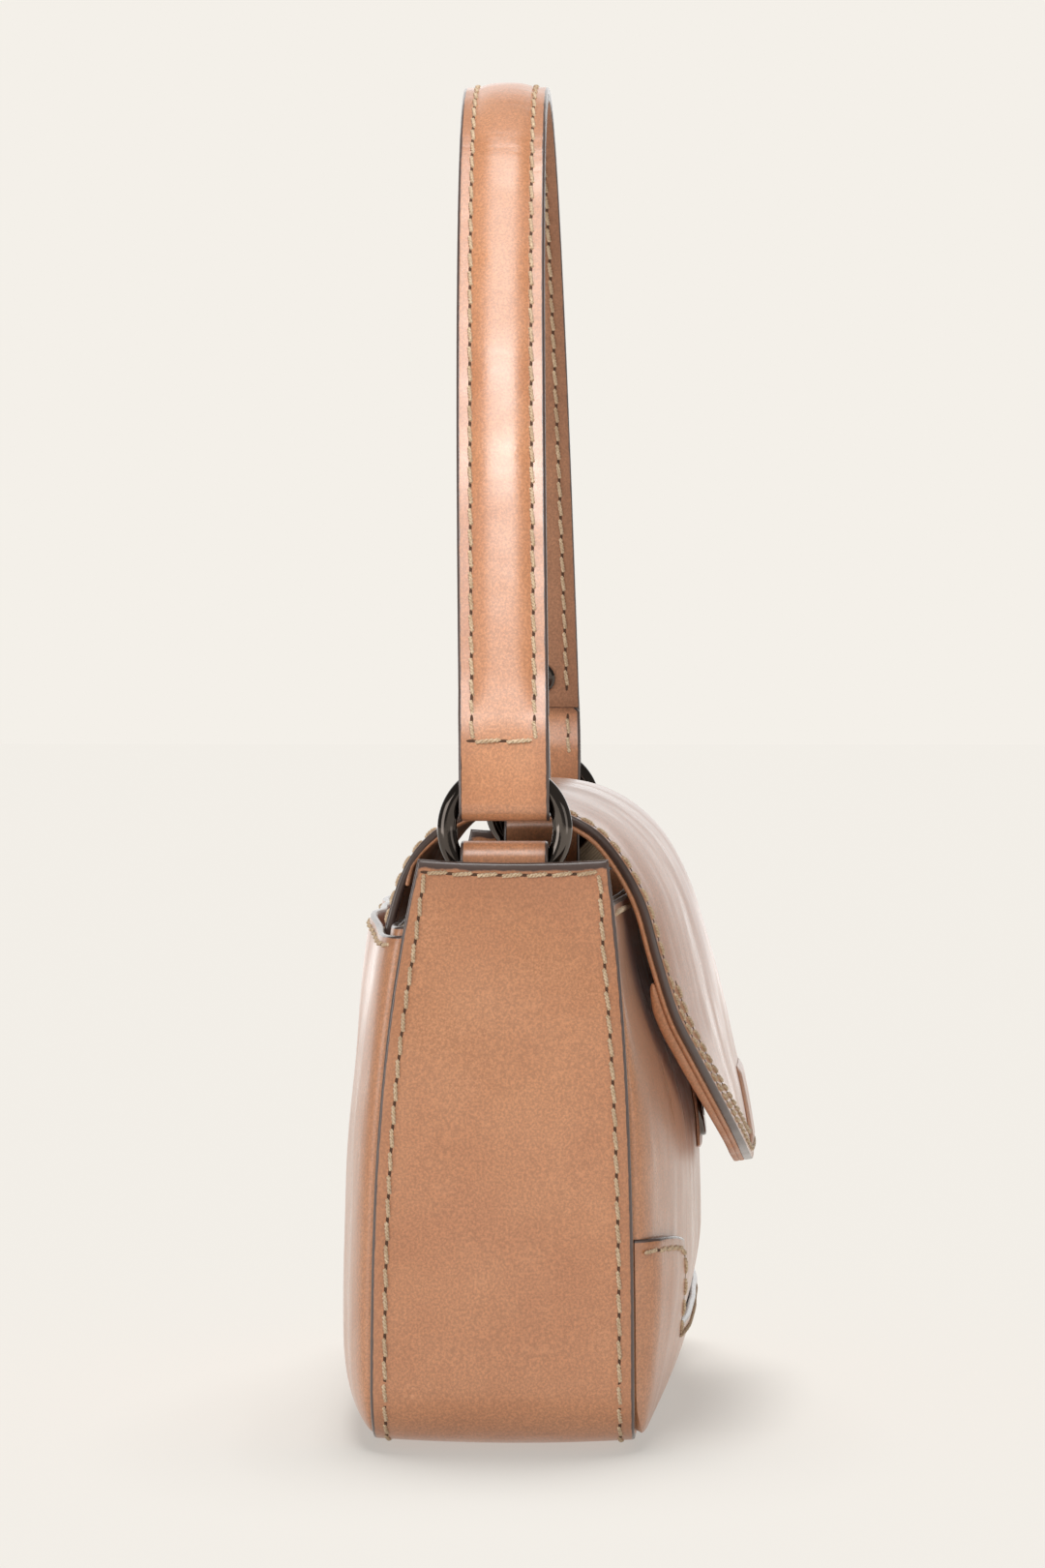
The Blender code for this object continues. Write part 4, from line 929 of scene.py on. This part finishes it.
def flap_seam(distance):
    """A line round the flap at a distance inside its cut edge, with its directions out."""
    tip = 0.9 + 0.1 * np.sin(np.linspace(0, math.pi / 2, 60))[1:]
    share = np.concatenate([np.linspace(0.04, 0.9, 120), tip])
    edge = np.stack([flap_width(share) * FLAP_HALF_LENGTH, share * flap_length], axis=1)
    straight = np.stack([np.linspace(edge[-1, 0], 0, 12)[1:], np.full(11, edge[-1, 1])], axis=1)
    edge = np.vstack([edge, straight])
    way = np.gradient(edge, axis=0)
    way /= np.linalg.norm(way, axis=1)[:, None]
    for _ in range(6):
        way[1:-1] = (way[:-2] + way[1:-1] + way[2:]) / 3
    way /= np.linalg.norm(way, axis=1)[:, None]
    half = edge + distance * np.stack([-way[:, 1], way[:, 0]], axis=1)
    half[-1] = (0, edge[-1, 1] - distance)
    half = half[half[:, 0] >= 0]
    whole = np.vstack([half, half[-2::-1] * [-1, 1]])
    x_share, share = whole[:, 0] / FLAP_HALF_LENGTH, whole[:, 1] / flap_length
    aside = flap_form(x_share + 0.01, share) - flap_form(x_share - 0.01, share)
    down = flap_form(x_share, share + 0.004) - flap_form(x_share, share - 0.004)
    outs = np.cross(aside, down)
    outs /= -np.linalg.norm(outs, axis=1)[:, None]
    return flap_form(x_share, share), outs


edge_line, edge_outs = flap_seam(FLAP_SEAM)
for side in ("first_column", "last_column"):
    line, outs = inset_line(outer_grid, side, FLAP_SEAM, True)
    sew("flap", line[1:SEAM_JOIN], outs[1:SEAM_JOIN], FLAP_PITCH)
met = np.argmin(np.linalg.norm(edge_line - line[SEAM_JOIN - 1], axis=1))
met = min(met, len(edge_line) - 1 - met)
sew("flap", edge_line[met:len(edge_line) - met], edge_outs[met:len(edge_line) - met], FLAP_PITCH)
second_line, second_outs = flap_seam(FLAP_SECOND_SEAM)
shown = second_line[:, 2] < HINGE_Z - SECOND_SEAM_DROP
sew("flap", second_line[shown], second_outs[shown], FLAP_PITCH)
sew("bag", *inset_line(outer_grid, "first_row", FLAP_SEAM, True), trim=FLAP_SEAM)

# Closure tab: a small tongue of leather laid over the lower middle of the flap, its edges
# pared thin and glued down.
CLOSURE_TOP = 0.86
CLOSURE_TIP = 0.985
CLOSURE_CORNER = 0.05
CLOSURE_LEATHER = 0.8 * MM
CLOSURE_EDGE = 0.25 * MM
CLOSURE_SEAT = 0.05 * MM
CLOSURE_PARE = 3 * MM
CLOSURE_HALF_WIDTH = 16 * MM
closure_share = np.linspace(CLOSURE_TOP, CLOSURE_TIP, 30)[:, None]
closure_rise = round_share(0.35 + (closure_share - CLOSURE_TOP) / CLOSURE_CORNER, 2.5)
closure_half = closure_rise * CLOSURE_HALF_WIDTH
closure_grid = flap_form(np.linspace(-1, 1, 25) * closure_half / FLAP_HALF_LENGTH, closure_share)


def closure_face(border, grid):
    """The tongue's outer face: pared thin at its edges."""
    return CLOSURE_EDGE + CLOSURE_LEATHER * smooth_share(border / CLOSURE_PARE)


finished(grid_piece("closure_leather", closure_grid, closure_face, CLOSURE_SEAT, ALL_SIDES, bare_leather,
                    True, radius=0.1 * MM), "flap", "tan_leather", "closure_tab")

# Handle: the outer leather is folded round both rings and back up between the layers, where
# it is sewn and riveted. Above that a felt core pads it between two rows of stitches.
STRAP_HALF_WIDTH = 12.4 * MM
HANDLE_TOP = RING_Z + 218 * MM
HANDLE_LEAN = 5 * MM
HANDLE_PAD = 2 * MM
HANDLE_LINING = 1.6 * MM
RING_RADIUS = RING_INNER + RING_WIRE
ARCH_BASE = RING_Z + RING_RADIUS
ARCH_HALF = RING_X + LOOP_RADIUS
ARCH_RISE = HANDLE_TOP - ARCH_BASE
ARCH_ELLIPSE = 0.35
ARCH_ROWS = 90
ARCH_STEP = 0.001
TAIL_SHARES = (0.13, 0.047)
TAIL_NARROWING = 0.02
FILLER_START = 0.135
LINING_START = 0.052
PAD_FROM = 0.045
PAD_TO = 0.075
PAD_HALF = 5.4 * MM
PAD_SLOPE = 2.8 * MM
PAD_SINK = 0.9 * MM
PAD_POWER = 2.8
HANDLE_SEAM = 3.8 * MM
HANDLE_SEAM_BOTTOM = 191 * MM
HANDLE_PITCH = 6.2 * MM
HANDLE_END_PITCH = 8.5 * MM


def arch(share):
    """The left half of the handle's outer face: x and z at a share of the quarter turn."""
    angle = np.asarray(share) * math.pi / 2
    rise = np.sin(angle)
    spread = ARCH_ELLIPSE * np.cos(angle) + (1 - ARCH_ELLIPSE) * np.sqrt(np.maximum(1 - rise, 0))
    return np.stack([-ARCH_HALF * spread, ARCH_BASE + ARCH_RISE * rise], axis=-1)


def arch_inside(shares, depth):
    """Points at a depth inside the handle's outer face."""
    ahead = arch(np.minimum(shares + ARCH_STEP, 1)) - arch(shares - ARCH_STEP)
    ahead /= np.linalg.norm(ahead, axis=-1, keepdims=True)
    return arch(shares) - depth * np.stack([-ahead[..., 1], ahead[..., 0]], axis=-1)


def mirrored(half, way=1):
    """A whole run from its left half, whose last value is on the middle plane."""
    return np.concatenate([half, half[-2::-1] * way])


def leaned(path, half_width, columns):
    """A strip of the handle, which leans a little to the back."""
    grid = strip_grid(path, half_width, columns)
    grid[..., 1] += HANDLE_LEAN * np.clip((grid[..., 2] - ARCH_BASE) / ARCH_RISE, 0, 1)
    return grid


def inner_strip(start, depth, half_width, columns):
    """A strip at a depth inside the handle, from a share of the left arch to the right one."""
    path = arch_inside(np.linspace(start, 1, ARCH_ROWS), depth)
    path[-1] = (0, HANDLE_TOP - depth)
    return leaned(mirrored(path, [-1, 1]), half_width, columns)


arch_shares = np.sin(np.linspace(0, math.pi / 2, ARCH_ROWS + 1)) ** 0.9
arch_half = arch(arch_shares)
arch_half[-1] = (0, HANDLE_TOP)
tail_shares = np.linspace(*TAIL_SHARES, 12)
tail = arch_inside(tail_shares, 2 * STRAP_LEATHER + GAP)
fold_z = RING_Z + wire_reach(STRAP_HALF_WIDTH) - GAP - STRAP_LEATHER + LOOP_RADIUS
beside = np.array([-RING_X + LOOP_RADIUS, ARCH_BASE + GAP])
swing = [tail[-1] + (beside - tail[-1]) * np.array([smooth_share(share), share])
         for share in np.linspace(0, 1, 9)[1:]]
fold = [(-RING_X + LOOP_RADIUS * math.cos(a), fold_z - LOOP_RADIUS * math.sin(a)) for a in BEND]
outer_path = mirrored(np.vstack([tail, swing, fold, arch_half[1:]]), [-1, 1])
before = len(tail) + len(swing) + len(fold)
padding = smooth_share((arch_shares[1:] - PAD_FROM) / (PAD_TO - PAD_FROM))
padding = mirrored(np.concatenate([np.zeros(before), padding]))
half_widths = np.full(before + ARCH_ROWS, STRAP_HALF_WIDTH)
half_widths[:len(tail)] -= ((STRAP_HALF_WIDTH - PAD_HALF)
                            * smooth_share((tail_shares - TAIL_SHARES[1]) / TAIL_NARROWING))
handle_grid = leaned(outer_path, mirrored(half_widths), 37)


def handle_offset(start):
    """An offset of the padded leather: raised in the middle, low and flat at both edges."""
    def offset(border, grid):
        middle = (grid[:, :1, 1] + grid[:, -1:, 1]) / 2
        outward = np.clip(np.abs(grid[..., 1] - middle) / (PAD_HALF + PAD_SLOPE), 0, 1)
        low = PAD_SINK + (HANDLE_PAD + GAP - PAD_SINK) * outward ** PAD_POWER
        extra = (len(grid) - len(padding)) // 2
        return start - np.pad(padding, extra)[:, None] * low
    return offset


handle_leather = grid_piece("handle_leather", handle_grid, handle_offset(0.0), handle_offset(-STRAP_LEATHER),
                            ALL_SIDES, waxed_leather, True)
finished(handle_leather, "handle", "tan_leather", "handle_outer")
only_strap.objects.link(handle_leather)
filler_depth = STRAP_LEATHER + GAP
filler = grid_piece("handle_felt", inner_strip(FILLER_START, filler_depth, PAD_HALF, 13), -PAD_SINK,
                    -HANDLE_PAD, ALL_SIDES, wool_felt, True, radius=0.5 * MM)
finished(filler, "handle", "foam", "handle_filler")
lining_strip = inner_strip(LINING_START, filler_depth + HANDLE_PAD + GAP, STRAP_HALF_WIDTH, 25)
handle_lining = grid_piece("handle_lining_leather", lining_strip, 0.0, -HANDLE_LINING, ALL_SIDES,
                           soft_lining, True, radius=0.5 * MM)
finished(handle_lining, "handle", "lining_leather", "handle_lining")

low_row = before + int(np.argmax(arch_half[1:, 1] > HANDLE_SEAM_BOTTOM))
for side in ("first_column", "last_column"):
    line, outs = inset_line(handle_grid, side, HANDLE_SEAM, True)
    line = line - outs * (padding * (HANDLE_PAD + GAP))[:, None]
    for sewn_rows in (slice(low_row, len(handle_grid) - low_row), slice(len(tail), len(tail) + len(swing)),
                      slice(-len(tail) - len(swing), -len(tail))):
        sew("handle", line[sewn_rows], outs[sewn_rows], HANDLE_PITCH)
    line, outs = inset_line(lining_strip, side, HANDLE_SEAM, True)
    sew("handle", line[2:-2] - outs[2:-2] * HANDLE_LINING, -outs[2:-2], HANDLE_PITCH)
for row in (low_row, len(handle_grid) - 1 - low_row):
    line = handle_grid[row]
    away = np.broadcast_to(np.sign(line[0, 0]) * np.array([1.0, 0, 0]), line.shape)
    sew("handle", line, away, HANDLE_END_PITCH, HANDLE_SEAM)

# Rings, rivet caps and snap: turned or cast brass with a dark gunmetal plating, polished and
# lightly scuffed. The snap's cup is pressed into its patch, and each ring is one round wire.
WIRE_TURNS = 96
WIRE_SIDES = 24
SNAP_Z = HINGE_Z - 64 * MM
SNAP_STEPS = 48
SNAP_PROFILE = [(0, 0.1), (3.0, 0.1), (3.0, 0.8), (3.3, 1.1), (8.2, 1.1), (8.8, 0.9), (9.0, 0.4),
                (9.0, -1.2), (0, -1.2)]
gunmetal, tree, shader = new_finish("gunmetal", Metallic=1.0)
place = object_place(tree)
scuffs = noise(place, 420.0, 6.0, 0.7)
stained = between(noise(place, 70.0), 0.35, 0.7)
tree.links.new(blended(stained, (0.075, 0.063, 0.056, 1), (0.125, 0.107, 0.094, 1)), shader["Base Color"])
tree.links.new(between(scuffs, 0.4, 0.75, 0.07, 0.16), shader["Roughness"])
tree.links.new(bumped(scuffs, 0.12, 0.05 * MM), shader["Normal"])


def turned(name, profile, centre, axis, sideways, steps, sharp=SHARP_ANGLE):
    """A metal piece turned round an axis from a profile of radii and heights, which either
    begins and ends on the axis or closes on itself."""
    on_axis = int(profile[0, 0] == 0)
    body = profile[1:-1] if on_axis else profile
    rows = len(body)
    angles = np.linspace(0, 2 * math.pi, steps, endpoint=False)[:, None, None]
    rim = np.cos(angles) * sideways + np.sin(angles) * np.cross(axis, sideways)
    points = (centre + body[:, :1] * rim + body[:, 1:] * axis).reshape(-1, 3)
    k, j = np.meshgrid(np.arange(steps), np.arange(rows - on_axis), indexing="ij")
    after, beyond = (k + 1) % steps, (j + 1) % rows
    faces = np.stack([k * rows + j, k * rows + beyond, after * rows + beyond, after * rows + j], axis=-1)
    faces = faces.reshape(-1, 4).tolist()
    if on_axis:
        points = np.vstack([points, centre + profile[[0, -1], 1:] * axis])
        for k in range(steps):
            after = (k + 1) % steps
            faces += [(steps * rows, k * rows, after * rows),
                      (steps * rows + 1, after * rows + rows - 1, k * rows + rows - 1)]
    return new_piece(name, points, faces, gunmetal, sharp)


rounds = np.linspace(0, 2 * math.pi, WIRE_SIDES, endpoint=False)
wire = np.stack([RING_RADIUS + RING_WIRE * np.cos(rounds), RING_WIRE * np.sin(rounds)], axis=1)
for end_name, end in (("left", -1), ("right", 1)):
    ring = turned("ring_wire_" + end_name, wire, np.array([end * RING_X, 0, RING_Z]), np.array([1.0, 0, 0]),
                  np.array([0, 1.0, 0]), WIRE_TURNS)
    finished(ring, "ring_" + end_name, "gunmetal", "ring_" + end_name)
for name in ("handle_rivet_left", "handle_rivet_right", "snap_stud"):
    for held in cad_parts[name].material_slots:
        held.material = gunmetal

snap_spots = front_form(np.array([0.0, 0.01, 0.0]), np.array([SNAP_Z, SNAP_Z, SNAP_Z + 1 * MM]))
snap_right = snap_spots[1] - snap_spots[0]
snap_out = np.cross(snap_right, snap_spots[2] - snap_spots[0])
snap_out /= np.linalg.norm(snap_out)
snap_right /= np.linalg.norm(snap_right)
snap_base = snap_spots[0] + snap_out * (PATCH_LEATHER + PATCH_SEAT)
snap_cup = turned("snap_cup", np.array(SNAP_PROFILE) * MM, snap_base, snap_out, snap_right, SNAP_STEPS,
                  math.radians(35))
finished(snap_cup, "bag", "gunmetal", "snap_socket")

# Stitches: each is a short length of two-ply waxed linen thread that rises from one needle
# hole and dips into the next, over a flat dark disc of painted shade at the hole. Geometry nodes twist one
# stitch and repeat it on every seam.
SEAM_SIZES = {"Pitch": STITCH_PITCH, "Thread Radius": 0.68 * MM, "Turns": 2.4, "Dip": 0.75 * MM,
              "Lift": 0.32 * MM, "Slant": 0.12, "Hole Radius": 0.85 * MM}
STITCH_SHARE = 0.77
STRAND_SHARE = 0.5
PLY_SHARE = 0.56
HOLE_STRETCH = (1.5, 0.52, 1.0)
HOLE_LIFT = 0.04 * MM
waxed_thread, tree, shader = new_finish("waxed_thread", Roughness=0.62, Sheen_Weight=0.2)
place = object_place(tree)
fibres = noise(place, 1500.0, 4.0)
clean = blended(between(fibres, 0.3, 0.7), (0.50, 0.35, 0.21, 1), (0.76, 0.59, 0.40, 1))
soil = between(noise(place, 60.0), 0.45, 0.75, 0.0, 0.5)
tree.links.new(blended(soil, clean, (0.42, 0.27, 0.15, 1)), shader["Base Color"])
tree.links.new(bumped(fibres, 0.4, 0.1 * MM), shader["Normal"])
# Painted shade: a dark brown for the flat discs laid over each needle hole, where the hole's shade falls.
painted_hole_shade, tree, shader = new_finish("painted_hole_shade", Roughness=0.9)
pull = noise(object_place(tree), 900.0)
tree.links.new(blended(pull, (0.05, 0.026, 0.015, 1), (0.12, 0.058, 0.032, 1)), shader["Base Color"])

seams = bpy.data.node_groups.new("seams", "GeometryNodeTree")


def seam_socket(name, kind, way="INPUT"):
    """A named input or output of the seams' tree."""
    return seams.interface.new_socket(name, in_out=way, socket_type="NodeSocket" + kind)


def grown(kind, links=(), **values):
    """The first output of a node in the seams' tree."""
    return first(seams, kind, links, **values)


def joined(*parts):
    """Several shapes as one."""
    made = node(seams, "GeometryNodeJoinGeometry")
    for part in parts:
        seams.links.new(part, made.inputs["Geometry"])
    return made.outputs["Geometry"]


def placed_part(part, **how):
    """A shape moved, turned or scaled."""
    return grown("GeometryNodeTransform", {"Geometry": part, **how})


def vector(**parts):
    """A vector of three values."""
    return grown("ShaderNodeCombineXYZ", parts)


def stored(name, kind="FLOAT_VECTOR"):
    """What each point or face carries by a name."""
    return node(seams, "GeometryNodeInputNamedAttribute", {"Name": name}, data_type=kind).outputs["Attribute"]


seam_socket("Geometry", "Geometry")
for name, value in SEAM_SIZES.items():
    seam_socket(name, "Float").default_value = value
finishes = {seam_socket("Thread", "Material").identifier: waxed_thread,
            seam_socket("Hole", "Material").identifier: painted_hole_shade}
seam_socket("Geometry", "Geometry", "OUTPUT")
given = seams.nodes.new("NodeGroupInput").outputs
pitch, radius = given["Pitch"], given["Thread Radius"]
half_pitch = maths("MULTIPLY", pitch, 0.5)
strand_radius = maths("MULTIPLY", radius, STRAND_SHARE)
length = maths("MULTIPLY", pitch, STITCH_SHARE)
spiral = grown("GeometryNodeCurveSpiral", {"Resolution": 4, "Rotations": given["Turns"], "Height": length,
                                           "Start Radius": strand_radius, "End Radius": strand_radius})
ply_radius = maths("MULTIPLY", radius, PLY_SHARE)
ply = grown("GeometryNodeCurvePrimitiveCircle", {"Resolution": 4, "Radius": ply_radius})
strand = grown("GeometryNodeCurveToMesh", {"Curve": spiral, "Profile Curve": ply, "Fill Caps": True})
both = joined(strand, placed_part(strand, Rotation=(0, 0, math.pi)))
centred = placed_part(both, Translation=vector(Z=maths("MULTIPLY", length, -0.5)))
laid = placed_part(centred, Rotation=(0, math.pi / 2, 0))
spot = node(seams, "ShaderNodeSeparateXYZ", {"Vector": grown("GeometryNodeInputPosition")}).outputs["X"]
steep = maths("POWER", maths("ABSOLUTE", maths("DIVIDE", spot, half_pitch)), 3.0)
fallen = maths("SUBTRACT", given["Lift"], maths("MULTIPLY", steep, given["Dip"]))
shift = vector(Y=maths("MULTIPLY", spot, given["Slant"]), Z=fallen)
bent = grown("GeometryNodeSetPosition", {"Geometry": laid, "Offset": shift})
# A flat dark disc of painted shade, laid just above the leather over the needle hole at the stitch's end.
hole_shade_disc = grown("GeometryNodeMeshCircle", {"Vertices": 8, "Radius": given["Hole Radius"]}, fill_type="NGON")
hole_shade_disc = placed_part(hole_shade_disc, Translation=vector(X=half_pitch, Z=HOLE_LIFT), Scale=HOLE_STRETCH)
hole_shade_disc = grown("GeometryNodeStoreNamedAttribute", {"Geometry": hole_shade_disc, "Name": "hole", "Value": True},
             data_type="BOOLEAN", domain="FACE")
along, out = stored("along"), stored("out")
stand = grown("FunctionNodeAxesToRotation", {"Primary Axis": out, "Secondary Axis": along},
              primary_axis="Z", secondary_axis="X")
reach = node(seams, "ShaderNodeVectorMath", {0: along}, operation="LENGTH").outputs["Value"]
size = vector(X=maths("DIVIDE", reach, pitch), Y=1.0, Z=1.0)
rows = grown("GeometryNodeInstanceOnPoints", {"Points": given["Geometry"], "Instance": joined(bent, hole_shade_disc),
                                              "Rotation": stand, "Scale": size})
real = grown("GeometryNodeRealizeInstances", {"Geometry": rows})
soft = grown("GeometryNodeSetShadeSmooth", {"Geometry": real})
threads = grown("GeometryNodeSetMaterial", {"Geometry": soft, "Material": given["Thread"]})
done = grown("GeometryNodeSetMaterial", {"Geometry": threads, "Selection": stored("hole", "BOOLEAN"),
                                         "Material": given["Hole"]})
node(seams, "NodeGroupOutput", {"Geometry": done})

for body, lines in sewn.items():
    middle, along, out = (np.concatenate(values) for values in zip(*lines))
    mesh = bpy.data.meshes.new("stitches_" + body)
    mesh.from_pydata(middle.tolist(), [], [])
    for name, values in (("along", along), ("out", out)):
        held = mesh.attributes.new(name, "FLOAT_VECTOR", "POINT")
        held.data.foreach_set("vector", values.ravel().astype(np.float32))
    mesh.materials.append(waxed_thread)
    mesh.materials.append(painted_hole_shade)
    stitches = placed("stitches_" + body, mesh)
    growth = stitches.modifiers.new("seams", "NODES")
    growth.node_group = seams
    for identifier, finish in finishes.items():
        growth[identifier] = finish
    plain = bpy.data.meshes.new_from_object(stitches.evaluated_get(bpy.context.evaluated_depsgraph_get()))
    stitches.modifiers.clear()
    stitches.data = plain
    if body == "handle":
        only_strap.objects.link(stitches)
    if body == "flap":
        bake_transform(stitches)
    else:
        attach(stitches, body)
